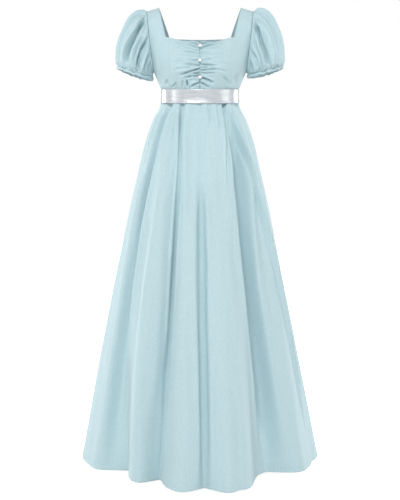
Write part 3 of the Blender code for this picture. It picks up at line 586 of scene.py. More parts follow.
# Length of cloth from the head to the cuff, as the gathers at each end count it
HEAD_LENGTH, CUFF_LENGTH = 0.20, 0.16
HEAD_GATHERS, HEAD_REACH, HEAD_GATHER_DEPTH = 50, 0.032, 0.0042
CUFF_GATHERS, CUFF_REACH, CUFF_GATHER_DEPTH = 46, 0.034, 0.0060
SLEEVE_GATHER_WIDTH = 0.0026
SLEEVE_SEAM_TURN = 0.0012
SLEEVE_UNEVEN = 0.0006


def arc_from(degrees, middle, radius):
    """Distance round a ring from an angle, the shorter way."""
    return np.radians((degrees - middle + 180.0) % 360.0 - 180.0) * radius


def lengthwise_creases(degrees, place, radius, creases, ends):
    """How far in the cloth is moved by creases whose paths are rows of (degrees, place), widths in mm."""
    depth_in = 0.0
    for path, width, depth in creases:
        angles, places = zip(*path)
        away = arc_from(degrees, smooth_read(places, angles, place), radius)
        along = (place - places[0]) / (places[-1] - places[0])
        fade = ease(along / ends) * (1.0 - ease((along - 1.0 + 2.0 * ends) / (2.0 * ends)))
        depth_in = depth_in + depth * MM * fade * trough(away, width * MM)
    return depth_in


def random_gathers(count, reach, seed):
    """Places, sizes and lengths of many small gathers, in uneven steps round a ring."""
    chance = np.random.default_rng(seed)
    degrees = (np.arange(count) + chance.uniform(-0.34, 0.34, count)) * 360.0 / count
    return degrees, chance.uniform(0.4, 1.0, count), chance.uniform(0.35, 1.0, count) * reach


def gathered_edge(degrees, distance, gathers, radius, width, depth):
    """How far in the small gathers of a drawn-up edge move the cloth, at a distance from that edge."""
    depth_in = 0.0
    for middle, strength, length in zip(*gathers):
        fade = 1.0 - ease(distance / length)
        crease = trough(arc_from(degrees, middle, radius), width * (0.7 + 0.6 * strength))
        depth_in = depth_in + depth * strength * fade * crease
    return depth_in


def sleeve_form(place, angle, slimmer, lift):
    """The sleeve's plain form. place counts the sleeve rings and angle is in radians."""
    rings = range(len(SLEEVE_RINGS))
    outer_x, outer_z, inner_x, inner_z, half_depth, sag = read_fields(SLEEVE_RINGS, rings, range(1, 7), place)
    along = place / rings[-1]
    outer_x = outer_x - slimmer * np.sin(math.pi * np.minimum(along * SLIMMING_END, 1.0))
    inner_z = inner_z + lift * ease(along)
    inner_x = inner_x + UNDERARM_OUT * max(lift, 0.0) * ease(along * 1.5)
    share = 0.5 - 0.5 * np.cos(angle)
    x = blend(outer_x, inner_x, share)
    z = blend(outer_z, inner_z, share) - sag * np.sin(angle) ** 2
    return np.stack([x, -half_depth * np.sin(angle), z], axis=-1)


def sleeve_grid(slimmer, lift, valleys, creases, seed):
    """Grid of points of a sleeve on the wearer's left, cuff first, and the way down the arm."""
    turn = np.arange(len(valleys) * SLEEVE_STEPS)[::-1] / SLEEVE_STEPS
    here = turn.astype(int)
    share = turn - here
    table = np.array(valleys + (valleys[0],), float) * (1.0, 1.0, MM, MM, MM)
    table[-1, :2] += 360.0
    head, cuff, head_depth, middle_depth, cuff_depth = (
        blend(table[here, field], table[here + 1, field], share) for field in range(5)
    )
    last = len(SLEEVE_RINGS) - 1
    place = (last * np.linspace(1.0, 0.0, SLEEVE_ROWS))[:, None]
    along = place / last
    degrees = blend(head, cuff, ease(along))
    grid = sleeve_form(place, np.radians(degrees), slimmer, lift)
    wave = (0.5 + 0.5 * np.cos(2.0 * math.pi * share)) ** 1.3
    start, end = ease(along / 0.10), ease((1.0 - along) / 0.05)
    upper = blend(head_depth, middle_depth, ease(along / 0.45))
    lower = blend(middle_depth, cuff_depth, ease((along - 0.45) / 0.55))
    moved_in = np.where(along < 0.45, upper, lower) * wave * start
    moved_in += lengthwise_creases(degrees, along, SLEEVE_RADIUS, creases, ends=0.22) * start
    head_gathers = random_gathers(HEAD_GATHERS, HEAD_REACH, seed)
    cuff_gathers = random_gathers(CUFF_GATHERS, CUFF_REACH, seed + 1)
    upper_half = 1.0 - ease((np.abs((degrees + 180.0) % 360.0 - 180.0) - 60.0) / 60.0)
    moved_in += upper_half * ease(along / 0.03) * gathered_edge(
        degrees, along * HEAD_LENGTH, head_gathers, HEAD_RADIUS, SLEEVE_GATHER_WIDTH, HEAD_GATHER_DEPTH
    )
    moved_in += gathered_edge(
        degrees, (1.0 - along) * CUFF_LENGTH, cuff_gathers, CUFF_RADIUS, SLEEVE_GATHER_WIDTH, CUFF_GATHER_DEPTH
    )
    moved_in += SLEEVE_SEAM_TURN * (bell(along, 0.015) + bell(1.0 - along, 0.02))
    moved_in *= blend(0.30, 1.0, end)
    uneven = np.sin(np.radians(degrees) * 7.0 + 9.0 * along) * np.sin(17.0 * along + 2.0)
    moved_in += SLEEVE_UNEVEN * uneven
    grid = grid - cloth_normals(grid, ring=True) * moved_in[..., None]
    grid[-1] += np.array([1.0, 0.0, -ARMHOLE_LEAN]) / math.hypot(1.0, ARMHOLE_LEAN) * SEAM_GAP
    _, outer_x, outer_z, inner_x, inner_z, _, _ = SLEEVE_RINGS[-1]
    across = np.array([outer_x - inner_x, 0.0, outer_z - inner_z - lift])
    across /= np.linalg.norm(across)
    return grid, np.array([across[2], 0.0, -across[0]])


def casing_grid(edge, down_arm):
    """The casing of the elastic: a narrow tube of cloth, drawn up in small tucks, below the sleeve's edge."""
    grid = []
    out = edge - edge.mean(axis=0)
    out /= np.linalg.norm(out, axis=1, keepdims=True)
    step = np.arange(len(edge))
    tucks = np.cos(step * 2.0 * math.pi * CASING_TUCKS / len(edge)) * 0.5
    uneven = 0.5 + 0.5 * np.sin(step * 0.31) * np.sin(step * 0.077 + 1.0)
    for share in np.linspace(1.0, 0.0, CASING_ROWS):
        swell = CASING_SWELL * math.sin(math.pi * share) ** 0.8 - CASING_INSET
        ripple = CASING_TUCK_DEPTH * tucks * uneven * math.sin(math.pi * min(share + 0.2, 1.0))
        down = blend(SEAM_GAP, CUFF_DROP, share)
        grid.append(edge + down_arm * down + out * (swell + ripple)[:, None])
    return np.stack(grid)


cuff_paths = {}
for hand, slimmer, lift, valleys, creases, seed in (
    ("left", 0.0025, 0.0050, LEFT_SLEEVE_VALLEYS, LEFT_SLEEVE_CREASES, 11),
    ("right", -0.0015, -0.0035, RIGHT_SLEEVE_VALLEYS, RIGHT_SLEEVE_CREASES, 23),
):
    sleeve_points, down_arm = sleeve_grid(slimmer, lift, valleys, creases, seed)
    casing_points = casing_grid(sleeve_points[0], down_arm)
    if hand == "right":
        sleeve_points, casing_points = flipped(sleeve_points), flipped(casing_points)
    sleeve = cloth_shell(f"sleeve_{hand}_cloth", sleeve_points, CREPE_THICKNESS, CREPE, ring=True)
    casing = cloth_shell(f"cuff_{hand}_casing", casing_points, CASING_THICKNESS, CREPE, ring=True)
    cuff_paths[hand] = casing_points[CASING_STITCH_ROW]
    for piece, node, flat, area in (
        (sleeve, f"sleeve_{hand}", (0.520, 0.190), 0.070),
        (casing, f"cuff_{hand}", (0.340, 0.010), None),
    ):
        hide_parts(node)
        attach(piece, "root")

# Skirt. A front and two backs of crepe, A-line and floor length, gathered into the waist seam under the belt.
# It hangs in long soft folds of its own weight, and its hem is turned up and stitched.

SKIRT_SECTIONS = (
    # height, half_width, front, back
    (-0.266, 0.1180, 0.0990, 0.0880),
    (-0.287, 0.1192, 0.1000, 0.0895),
    (-0.310, 0.1270, 0.1070, 0.0990),
    (-0.340, 0.1420, 0.1200, 0.1160),
    (-0.400, 0.1625, 0.1400, 0.1390),
    (-0.460, 0.1770, 0.1550, 0.1560),
    (-0.590, 0.2060, 0.1850, 0.1870),
    (-0.840, 0.2550, 0.2350, 0.2400),
    (-1.090, 0.3020, 0.2880, 0.2920),
    (-1.400, 0.3560, 0.3480, 0.3540),
)
WAIST_RING = (0.1180, 0.0990, 0.0880)  # half width, front and back
WAIST_SQUARENESS, SKIRT_SQUARENESS = 2.2, 2.05
HEM_HEIGHT = -1.400
HEM_TURN = 0.013
THIGH_HEIGHT = -0.780
ROUNDING_DROP = 0.15
TILT_DROP = 0.40
# Heights of the first rows of points above the hem's edge, close together round its stitches
HEM_ROWS = (0.0, 0.0012, 0.0035, 0.0065, 0.0095, 0.0115, 0.0130, 0.0145, 0.0175)
HEM_STITCH_ROW = 6
SKIRT_ROWS = 141
FOLD_STEP = 0.72  # degrees from one column of points to the next
WAIST_GATHERS, WAIST_REACH, WAIST_GATHER_WIDTH, WAIST_GATHER_DEPTH = 96, 0.060, 0.0024, 0.0013
HEM_LAYERS, HEM_STITCH_DIP, HEM_EDGE_ROUNDING = 0.0007, 0.0006, 0.0008
SKIRT_UNEVEN = 0.0008
SKIRT_SEAM_TURN, SKIRT_SEAM_EASE = 0.0012, 0.0003
SKIRT_FOLDS = (
    # name, angle, then distance out, then sharpness, each at the waist, the thigh and the hem
    ("centre back ridge", -180, -180, -180, 0.000, 0.006, 0.016, 1.5, 1.6, 1.6),
    ("right inner back valley", -166, -165, -163, -0.005, -0.016, -0.036, 1.2, 1.5, 1.7),
    ("right back ridge", -152, -151, -149, 0.000, 0.008, 0.024, 1.5, 1.6, 1.6),
    ("right outer back valley", -137, -136, -134, -0.006, -0.022, -0.050, 1.2, 1.3, 1.4),
    ("right hip ridge", -121, -121, -120, 0.000, 0.006, 0.018, 1.5, 1.6, 1.6),
    ("right side valley", -107, -108, -109, -0.005, -0.010, -0.016, 1.3, 1.6, 1.7),
    ("right side ridge", -90, -92, -96, 0.001, 0.011, 0.020, 1.5, 1.6, 1.6),
    ("right front ridge", -71, -76, -68, 0.000, 0.003, -0.004, 1.5, 1.6, 1.6),
    ("right deep valley", -56, -61, -53, -0.006, -0.020, -0.088, 1.2, 1.4, 1.4),
    ("right thigh ridge", -40, -41, -33, 0.000, 0.002, -0.016, 1.5, 1.6, 1.6),
    ("right inner valley", -29, -22, -25, -0.005, -0.028, -0.069, 1.15, 1.15, 1.35),
    ("right centre ridge", -19, -12, -8, 0.000, 0.008, 0.028, 1.5, 1.6, 1.6),
    ("centre valley", -1, 1, 2, -0.003, -0.004, -0.014, 1.6, 1.6, 1.15),
    ("left centre ridge", 8, 9, 13, 0.000, 0.008, 0.040, 1.5, 1.6, 1.6),
    ("left broad ridge", 26, 23, 19, 0.000, 0.006, 0.024, 1.5, 1.7, 4.2),
    ("left deep valley", 43, 40, 46, -0.006, -0.034, -0.090, 1.15, 1.4, 2.2),
    ("left thigh ridge", 58, 65, 63, 0.000, 0.005, -0.002, 1.3, 1.3, 1.5),
    ("left side dip", 68, 77, 78, -0.004, -0.005, -0.002, 1.3, 1.6, 1.6),
    ("left side ridge", 80, 92, 93, 0.000, 0.005, 0.018, 1.5, 1.6, 1.6),
    ("left side valley", 100, 108, 110, -0.005, -0.012, -0.028, 1.2, 1.5, 1.6),
    ("left hip ridge", 118, 123, 124, 0.000, 0.008, 0.020, 1.5, 1.6, 1.6),
    ("left outer back valley", 136, 137, 138, -0.006, -0.020, -0.046, 1.2, 1.3, 1.4),
    ("left back ridge", 151, 151, 151, 0.000, 0.008, 0.022, 1.5, 1.6, 1.6),
    ("left inner back valley", 166, 165, 165, -0.005, -0.018, -0.040, 1.2, 1.4, 1.6),
)
# Lesser creases: a path of (degrees, height in mm), width and depth in mm, and a ridge where
# depth is below 0
SKIRT_CREASES = (
    (((-51, -255), (-53, -290), (-56, -340), (-59, -440), (-61, -540), (-62, -800)), 8.5, 13),
    (
        ((-60, -420), (-62, -600), (-63, -800), (-63, -950),
         (-62, -1150), (-60, -1320), (-59, -1480)),
        14, 20,
    ),
    (((-32, -225), (-31, -290), (-25, -370), (-22, -500), (-22, -660), (-22, -900), (-21, -1150)), 6, 13),
    (((-21, -920), (-22, -1080), (-22, -1240), (-24, -1460)), 8.5, 6),
    (((-25, -285), (-19, -370), (-15, -500), (-13, -700)), 8, -5),
    (((-46, -285), (-45, -360), (-43, -480)), 6, 3.6),
    (((-37, -285), (-35, -340), (-33, -420)), 4.5, 2.6),
    (((-66, -290), (-70, -400), (-71, -560)), 7, 3.4),
    (((-47, -600), (-48, -900), (-46, -1250)), 16, 5),
    (((-36, -460), (-36, -750), (-34, -1000), (-36, -1360)), 26, -8),
    (((74, -600), (76, -900), (79, -1300)), 15, -5),
    (((-30, -700), (-29, -980), (-29, -1300)), 12, -4),
    (((-12, -283), (-11, -330), (-10, -380)), 4, 1.8),
    (((2, -283), (2, -360), (1, -500)), 7, 2),
    (((1, -500), (1, -800), (2, -1150), (3, -1460)), 10.5, 13.5),
    (((5, -660), (7, -1000), (9, -1460)), 23, 6),
    (((16, -280), (15, -310), (14, -360)), 4, 3.4),
    (((31, -280), (29, -320), (26, -380)), 4.2, 3.8),
    (((43, -250), (42, -290), (39, -330), (35, -380), (31, -450), (28, -550)), 5, 9.5),
    (((29, -600), (27, -900), (26, -1250)), 14, 3),
    (((48, -290), (45, -460), (42, -630), (41, -800), (44, -1000), (47, -1220), (50, -1460)), 18, 29),
    (((52, -285), (53, -340), (54, -420)), 5, 4),
    (
        ((50, -220), (52, -330), (56, -450), (60, -570),
         (65, -740), (70, -980), (74, -1150), (77, -1380)),
        4.8, -15.5,
    ),
    (((56, -550), (57, -800), (58, -1100)), 15, 4.5),
    (((74, -300), (76, -500), (78, -800), (81, -1200)), 11, 1.5),
    (((88, -290), (90, -360), (92, -500)), 6, 3.4),
    (((-82, -290), (-85, -380), (-86, -540)), 6.5, 3.4),
    (((-98, -285), (-99, -360), (-100, -500)), 6, 3.2),
    (((-114, -285), (-115, -400), (-114, -620)), 7, 3.4),
    (((-129, -285), (-129, -350), (-128, -460)), 5.5, 3),
    (((-144, -285), (-144, -400), (-143, -560)), 6.5, 3.2),
    (((-158, -285), (-158, -340), (-157, -440)), 5, 2.6),
    (((-172, -285), (-172, -380), (-171, -540)), 6, 3),
    (((-127, -650), (-127, -950), (-127, -1280)), 13, 4.4),
    (((-155, -600), (-156, -900), (-157, -1250)), 12, 3.6),
    (((108, -285), (111, -370), (112, -500)), 6, 3.4),
    (((127, -285), (128, -380), (129, -560)), 6.5, 3.2),
    (((144, -285), (144, -350), (144, -460)), 5.5, 2.8),
    (((158, -285), (158, -400), (157, -580)), 6.5, 3.2),
    (((173, -285), (172, -350), (171, -460)), 5, 2.8),
    (((130, -700), (130, -980), (131, -1300)), 13, 4.4),
    (((157, -620), (158, -950), (158, -1260)), 12, 3.8),
    (((100, -700), (101, -960), (102, -1280)), 12, 3.4),
)


def skirt_grid():
    """The whole skirt as one ring of points, hem first, with the number of each column's fold."""
    hem_rows = HEM_HEIGHT + np.array(HEM_ROWS)
    rising = 1.0 - (1.0 - np.linspace(0.0, 1.0, SKIRT_ROWS + 1)[1:]) ** 1.35
    heights = np.concatenate([hem_rows, blend(hem_rows[-1], WAIST_HEIGHT, rising)])[:, None]
    folds, share = [], []
    for number, fold in enumerate(SKIRT_FOLDS):
        after = SKIRT_FOLDS[(number + 1) % len(SKIRT_FOLDS)]
        turn = 360.0 if number == len(SKIRT_FOLDS) - 1 else 0.0
        steps = round(max(after[field] + turn - fold[field] for field in (1, 2, 3)) / FOLD_STEP)
        folds += [number] * steps
        share += [step / steps for step in range(steps)]
    folds, share = np.array(folds), np.array(share)
    # Angle, distance out and sharpness of every fold at every height
    keys = (WAIST_HEIGHT - BELT_WIDTH / 2, THIGH_HEIGHT, HEM_HEIGHT)
    angles, outs, powers = (
        np.concatenate([smooth_read(keys, fold[first : first + 3], heights) for fold in SKIRT_FOLDS], axis=1)
        for first in (1, 4, 7)
    )
    angles = np.concatenate([angles, angles[:, :1] + 360.0], axis=1)
    outs, powers = (np.concatenate([field, field[:, :1]], axis=1) for field in (outs, powers))
    degrees = blend(angles[:, folds], angles[:, folds + 1], share)
    power = blend(powers[:, folds], powers[:, folds + 1], share)
    climbing = np.sin(0.5 * math.pi * share) ** power
    falling = 1.0 - np.sin(0.5 * math.pi * (1.0 - share)) ** power
    out, next_out = outs[:, folds], outs[:, folds + 1]
    rise = np.where(out <= next_out, climbing, falling)
    angle = np.radians(degrees)
    section_heights = [section[0] for section in SKIRT_SECTIONS]
    half_width, front, back = read_fields(SKIRT_SECTIONS, section_heights, (1, 2, 3), heights)
    drop = WAIST_HEIGHT - heights
    squareness = blend(WAIST_SQUARENESS, SKIRT_SQUARENESS, ease(drop / ROUNDING_DROP))
    below_belt = ease(drop / (BELT_WIDTH / 2))
    radius = oval_radius(angle, half_width, front, back, squareness) + blend(out, next_out, rise) * below_belt
    z = heights - WAIST_TILT * np.cos(angle) * (1.0 - ease(drop / TILT_DROP))
    grid = np.stack([radius * np.sin(angle), -radius * np.cos(angle), z], axis=-1)
    moved_in = lengthwise_creases(degrees, heights / MM, radius, SKIRT_CREASES, ends=0.16)
    gathers = random_gathers(WAIST_GATHERS, WAIST_REACH, 5)
    moved_in += gathered_edge(
        degrees, drop - BELT_WIDTH / 2, gathers, radius, WAIST_GATHER_WIDTH, WAIST_GATHER_DEPTH
    )
    # The hem is turned up: two more layers below a line of stitches.
    above_hem = heights - HEM_HEIGHT
    moved_in -= HEM_LAYERS * (1.0 - ease((above_hem - HEM_TURN) / 0.0025))
    moved_in += HEM_STITCH_DIP * bell(above_hem - HEM_TURN, 0.0018)
    moved_in += HEM_EDGE_ROUNDING * bell(above_hem, 0.0014)
    uneven = np.sin(angle * 31.0 + 5.0 * heights) * np.sin(13.0 * heights + 3.0 * np.sin(angle * 4.0))
    uneven += 0.6 * np.sin(angle * 53.0 - 7.0 * heights + 1.0) * np.sin(21.0 * heights + 2.0)
    moved_in += SKIRT_UNEVEN * uneven * ease((drop - 0.03) / 0.15)
    moved_in *= below_belt
    return grid - cloth_normals(grid, ring=True) * moved_in[..., None], folds


skirt_points, skirt_folds = skirt_grid()
fold_names = [fold[0] for fold in SKIRT_FOLDS]
right_seam, left_seam = (
    int(np.argmax(skirt_folds == fold_names.index(name))) for name in ("right side ridge", "left side ridge")
)
ring_columns = skirt_points.shape[1]
for node, first, last, flat, area in (
    ("skirt_back_right", 0, right_seam, (0.680, 1.150), 0.520),
    ("skirt_front", right_seam, left_seam, (1.400, 1.160), 1.090),
    ("skirt_back_left", left_seam, ring_columns, (0.680, 1.150), 0.520),
):
    panel = skirt_points[:, np.arange(first, last + 1) % ring_columns]
    # The edges turn in to the seams.
    panel_normals = cloth_normals(panel)
    for edge, inward in ((0, 1), (-1, -2)):
        panel[:, edge] -= panel_normals[:, edge] * SKIRT_SEAM_TURN
        panel[:, inward] -= panel_normals[:, inward] * SKIRT_SEAM_EASE
        toward = panel[:, inward] - panel[:, edge]
        panel[:, edge] += toward / np.linalg.norm(toward, axis=1, keepdims=True) * SEAM_GAP / 2.0
    piece = cloth_shell(f"{node}_cloth", panel, CREPE_THICKNESS, CREPE)
    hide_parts(node)
    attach(piece, "root")

# Stitches. Pale blue thread, a short straight stitch every few millimetres, along the hem, the neckline and
# the casings' upper edges.

stitch_tree, given, stitch_out, stitch_sockets = new_group(
    "row of stitches",
    "GeometryNodeTree",
    {
        "Path": "Geometry",
        "Stitch spacing": "Float",
        "Stitch length": "Float",
        "Thread thickness": "Float",
        "Uneven seed": "Int",
        "Thread": "Material",
    },
    {"Stitches": "Geometry"},
)


def stitch_node(kind, inputs=None, **settings):
    return add_node(stitch_tree, kind, inputs, **settings)


path_curve = stitch_node("GeometryNodeMeshToCurve", {"Mesh": given["Path"]})
spacing = {"Curve": path_curve, "Length": given["Stitch spacing"]}
spaced = stitch_node("GeometryNodeResampleCurve", spacing, mode="LENGTH")
tangent = stitch_node("GeometryNodeInputTangent")
turned = stitch_node("FunctionNodeAlignRotationToVector", {"Vector": tangent}, axis="X")
bead = stitch_node("GeometryNodeMeshUVSphere", {"Segments": 6, "Rings": 5, "Radius": 0.5})
uneven_range = {2: 0.85, 3: 1.15, "Seed": given["Uneven seed"]}
chance = stitch_node("FunctionNodeRandomValue", uneven_range, data_type="FLOAT")
uneven_length = maths(stitch_tree, "MULTIPLY", given["Stitch length"], chance.outputs[1])
thickness = given["Thread thickness"]
size = stitch_node("ShaderNodeCombineXYZ", {"X": uneven_length, "Y": thickness, "Z": thickness})
placing = {"Points": spaced, "Instance": bead, "Rotation": turned, "Scale": size}
placed = stitch_node("GeometryNodeInstanceOnPoints", placing)
real = stitch_node("GeometryNodeRealizeInstances", {"Geometry": placed})
threaded = stitch_node("GeometryNodeSetMaterial", {"Geometry": real, "Material": given["Thread"]})
fill_inputs(stitch_tree, stitch_out, {"Stitches": threaded})

THREAD, thread, thread_shader = new_material("pale blue thread")
thread_place = add_node(thread, "ShaderNodeTexCoord").outputs["Object"]
thread_twist = noise(thread, thread_place, 900.0, 1.0)
thread_shades = two_shades(thread, thread_twist, (0.36, 0.54, 0.60), (0.50, 0.68, 0.74))
fill_inputs(thread, thread_shader, {"Base Color": thread_shades, "Roughness": 0.60})


def made_along(name, path, group, identifiers, values):
    """A plain mesh piece that a node group makes from a path's mesh, with its inputs set by name."""
    holder = new_object(name + "_path", path)
    modifier = holder.modifiers.new(name, "NODES")
    modifier.node_group = group
    for label, value in values.items():
        modifier[identifiers[label]] = value
    bpy.context.view_layer.update()
    evaluated = holder.evaluated_get(bpy.context.evaluated_depsgraph_get())
    mesh = bpy.data.meshes.new_from_object(evaluated)
    bpy.data.objects.remove(holder)
    mesh.name = name
    return new_object(name, mesh)


def stitch_row(name, path, spacing, length, thickness, seed, closed=False):
    """Stitches along a path of points, as one plain mesh."""
    count = len(path)
    mesh = bpy.data.meshes.new(name + "_path")
    edges = [(at, (at + 1) % count) for at in range(count if closed else count - 1)]
    mesh.from_pydata(path.tolist(), edges, [])
    values = {
        "Stitch spacing": spacing,
        "Stitch length": length,
        "Thread thickness": thickness,
        "Uneven seed": seed,
        "Thread": THREAD,
    }
    piece = made_along(name, mesh, stitch_tree, stitch_sockets, values)
    piece.data.shade_smooth()
    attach(piece, "root")


NECK_STITCH_ROW = LOWER_ROWS - 7  # six rows of points below the neckline
NECK_STITCH_COLUMN = INNER_COLUMNS + 3  # four columns in from the strap's inner edge
PROUD = 0.0002  # how far the hem's stitches stand out of the cloth
hem_path = skirt_points[HEM_STITCH_ROW] + cloth_normals(skirt_points, ring=True)[HEM_STITCH_ROW] * PROUD
stitch_row("hem_stitches", hem_path, 0.0045, 0.0028, 0.00055, 3, closed=True)
for hand, front in fronts.items():
    along_neck = front[NECK_STITCH_ROW, : NECK_STITCH_COLUMN + 1 : 2]
    up_strap = front[NECK_STITCH_ROW + 1 :: 2, NECK_STITCH_COLUMN]
    path = np.concatenate([along_neck, up_strap]) - np.array([0.0, PROUD / 2, 0.0])
    if hand == "right":
        path = path * np.array([-1.0, 1.0, 1.0])
    stitch_row(f"neck_stitches_{hand}", path, 0.0032, 0.0021, 0.00045, 7)
for hand, path in cuff_paths.items():
    stitch_row(f"casing_stitches_{hand}", path, 0.0034, 0.0022, 0.00045, 9, closed=True)

# Belt. A satin ribbon 42 mm wide laid over the waist seam and pulled snug, so that it has faint lengthwise
# wrinkles. One end is turned under and lapped over the other at the centre back.

RIBBON = 0.0012  # thickness of the solid that the ribbon lies on
DRAWN_RIBBON = 0.0006
BELT_SPACE = 0.0003
BELT_LAP = 0.030
BELT_STEPS = 360
BELT_ROWS = 17
ribbon_tree, given, ribbon_out, ribbon_sockets = new_group(
    "ribbon round the waist",
    "GeometryNodeTree",
    {
        "Path": "Geometry",
        "Ribbon width": "Float",
        "Ribbon thickness": "Float",
        "Lower flare": "Float",
        "Upper flare": "Float",
        "Wrinkle height": "Float",
        "Satin": "Material",
    },
    {"Ribbon": "Geometry"},
)


def ribbon_node(kind, inputs=None, **settings):
    return add_node(ribbon_tree, kind, inputs, **settings)


def ribbon_math(operation, *values):
    return maths(ribbon_tree, operation, *values)


def ribbon_vector(operation, first, second=None, scale=None):
    named = {0: first, 1: second, "Scale": scale}
    inputs = {name: value for name, value in named.items() if value is not None}
    return ribbon_node("ShaderNodeVectorMath", inputs, operation=operation)


# The strip is one face thick. It is flared and wrinkled, and then gets its inner side and its edges.
strip_uv = ribbon_node("GeometryNodeInputNamedAttribute", {"Name": "cloth"}, data_type="FLOAT_VECTOR")
strip_height = ribbon_node("ShaderNodeSeparateXYZ", {"Vector": strip_uv}).outputs["Y"]
twice_height = ribbon_math("MULTIPLY", ribbon_math("DIVIDE", strip_height, given["Ribbon width"]), 2.0)
low_share = ribbon_math("MAXIMUM", ribbon_math("SUBTRACT", 1.0, twice_height), 0.0)
high_share = ribbon_math("MAXIMUM", ribbon_math("SUBTRACT", twice_height, 1.0), 0.0)
lower = ribbon_math("MULTIPLY", ribbon_math("POWER", low_share, 2.0), given["Lower flare"])
upper = ribbon_math("MULTIPLY", ribbon_math("POWER", high_share, 2.0), given["Upper flare"])
wrinkles = noise(ribbon_tree, ribbon_vector("MULTIPLY", strip_uv, (13.0, 150.0, 1.0)), 1.0, 1.5)
wrinkle = ribbon_math("MULTIPLY", ribbon_math("SUBTRACT", wrinkles, 0.5), given["Wrinkle height"])
push_out = ribbon_math("ADD", ribbon_math("ADD", lower, upper), wrinkle)
position = ribbon_node("GeometryNodeInputPosition")
outwards = ribbon_vector("NORMALIZE", ribbon_vector("MULTIPLY", position, (1.0, 1.0, 0.0)))
inner_out = ribbon_math("SUBTRACT", push_out, given["Ribbon thickness"])
inner_move = ribbon_vector("SCALE", outwards, scale=inner_out)
inner_side = ribbon_node("GeometryNodeSetPosition", {"Geometry": given["Path"], "Offset": inner_move})
wall = ribbon_vector("SCALE", outwards, scale=given["Ribbon thickness"])
extruding = {"Mesh": inner_side, "Offset": wall, "Individual": False}
outer_side = ribbon_node("GeometryNodeExtrudeMesh", extruding, mode="FACES")
turned_side = ribbon_node("GeometryNodeFlipFaces", {"Mesh": inner_side})
both_sides = ribbon_node("GeometryNodeJoinGeometry")
for side_made in (outer_side, turned_side):
    ribbon_tree.links.new(side_made.outputs["Mesh"], both_sides.inputs["Geometry"])
merging = {"Geometry": both_sides, "Distance": 0.00001}
merged = ribbon_node("GeometryNodeMergeByDistance", merging)
smoothed = ribbon_node("GeometryNodeSetShadeSmooth", {"Geometry": merged})
whole_ribbon = ribbon_node("GeometryNodeRealizeInstances", {"Geometry": smoothed})
satined = ribbon_node("GeometryNodeSetMaterial", {"Geometry": whole_ribbon, "Material": given["Satin"]})
fill_inputs(ribbon_tree, ribbon_out, {"Ribbon": satined})

# Satin: fine threads and broader streaks along the ribbon, and a soft gloss
SATIN, satin, satin_shader = new_material("silver white satin")
satin_uv = add_node(satin, "ShaderNodeUVMap", uv_map="cloth")
satin_threads = noise(satin, stretched(satin, satin_uv, (40.0, 2600.0, 1.0)), 1.0, 2.0)
satin_streaks = noise(satin, stretched(satin, satin_uv, (18.0, 260.0, 1.0)), 1.0, 3.0)
satin_height = maths(satin, "ADD", satin_threads, satin_streaks)
satin_bump = {"Height": satin_height, "Distance": 0.0006, "Strength": 0.35}
satin_look = {
    "Base Color": two_shades(satin, satin_streaks, (0.53, 0.56, 0.59), (0.70, 0.73, 0.76), 0.30, 0.70),
    "Normal": add_node(satin, "ShaderNodeBump", satin_bump),
    "Roughness": 0.24,
    "Metallic": 0.25,
    "Specular IOR Level": 1.0,
    "Sheen Weight": 0.08,
    "Sheen Roughness": 0.30,
    "Coat Weight": 0.05,
    "Coat Roughness": 0.30,
}
fill_inputs(satin, satin_shader, satin_look)

lap_angle = BELT_LAP / WAIST_RING[2]
belt_start = math.pi - lap_angle / 2.0
belt_sweep = 2.0 * math.pi + lap_angle
belt_angle = belt_start + belt_sweep * np.linspace(0.0, 1.0, BELT_STEPS + 1)
past_lap = ease((belt_angle - belt_start - belt_sweep + 2.2 * lap_angle) / lap_angle)
belt_radius = oval_radius(belt_angle, *WAIST_RING, WAIST_SQUARENESS) + RIBBON + SEAM_GAP + BELT_SPACE
belt_radius += past_lap * (RIBBON + SEAM_GAP)
belt_rows = np.linspace(0.0, 1.0, BELT_ROWS)[:, None]
belt_z = WAIST_HEIGHT - WAIST_TILT * np.cos(belt_angle) + BELT_WIDTH * (belt_rows - 0.5)
belt_x, belt_y = belt_radius * np.sin(belt_angle), -belt_radius * np.cos(belt_angle)
belt_grid = np.stack(np.broadcast_arrays(belt_x, belt_y, belt_z), axis=-1)
belt_quads, _, _ = cloth_quads(belt_grid)
belt_path = bpy.data.meshes.new("belt_path")
belt_path.from_pydata(belt_grid.reshape(-1, 3).tolist(), [], belt_quads.tolist())
belt_uv = cloth_lengths(belt_grid)[:, :-1].reshape(-1, 2)[belt_quads.reshape(-1)]
belt_path.uv_layers.new(name="cloth").data.foreach_set("uv", belt_uv.astype(np.float32).reshape(-1))
belt_values = {
    "Ribbon width": BELT_WIDTH,
    "Ribbon thickness": DRAWN_RIBBON,
    "Lower flare": 0.0022,
    "Upper flare": 0.0009,
    "Wrinkle height": 0.0011,
    "Satin": SATIN,
}
belt = made_along("belt_ribbon", belt_path, ribbon_tree, ribbon_sockets, belt_values)
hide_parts("belt")
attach(belt, "root")

# Pearl buttons. Three round white pearls, a little flattened, each sewn on the centre front seam through a
# hole behind it.

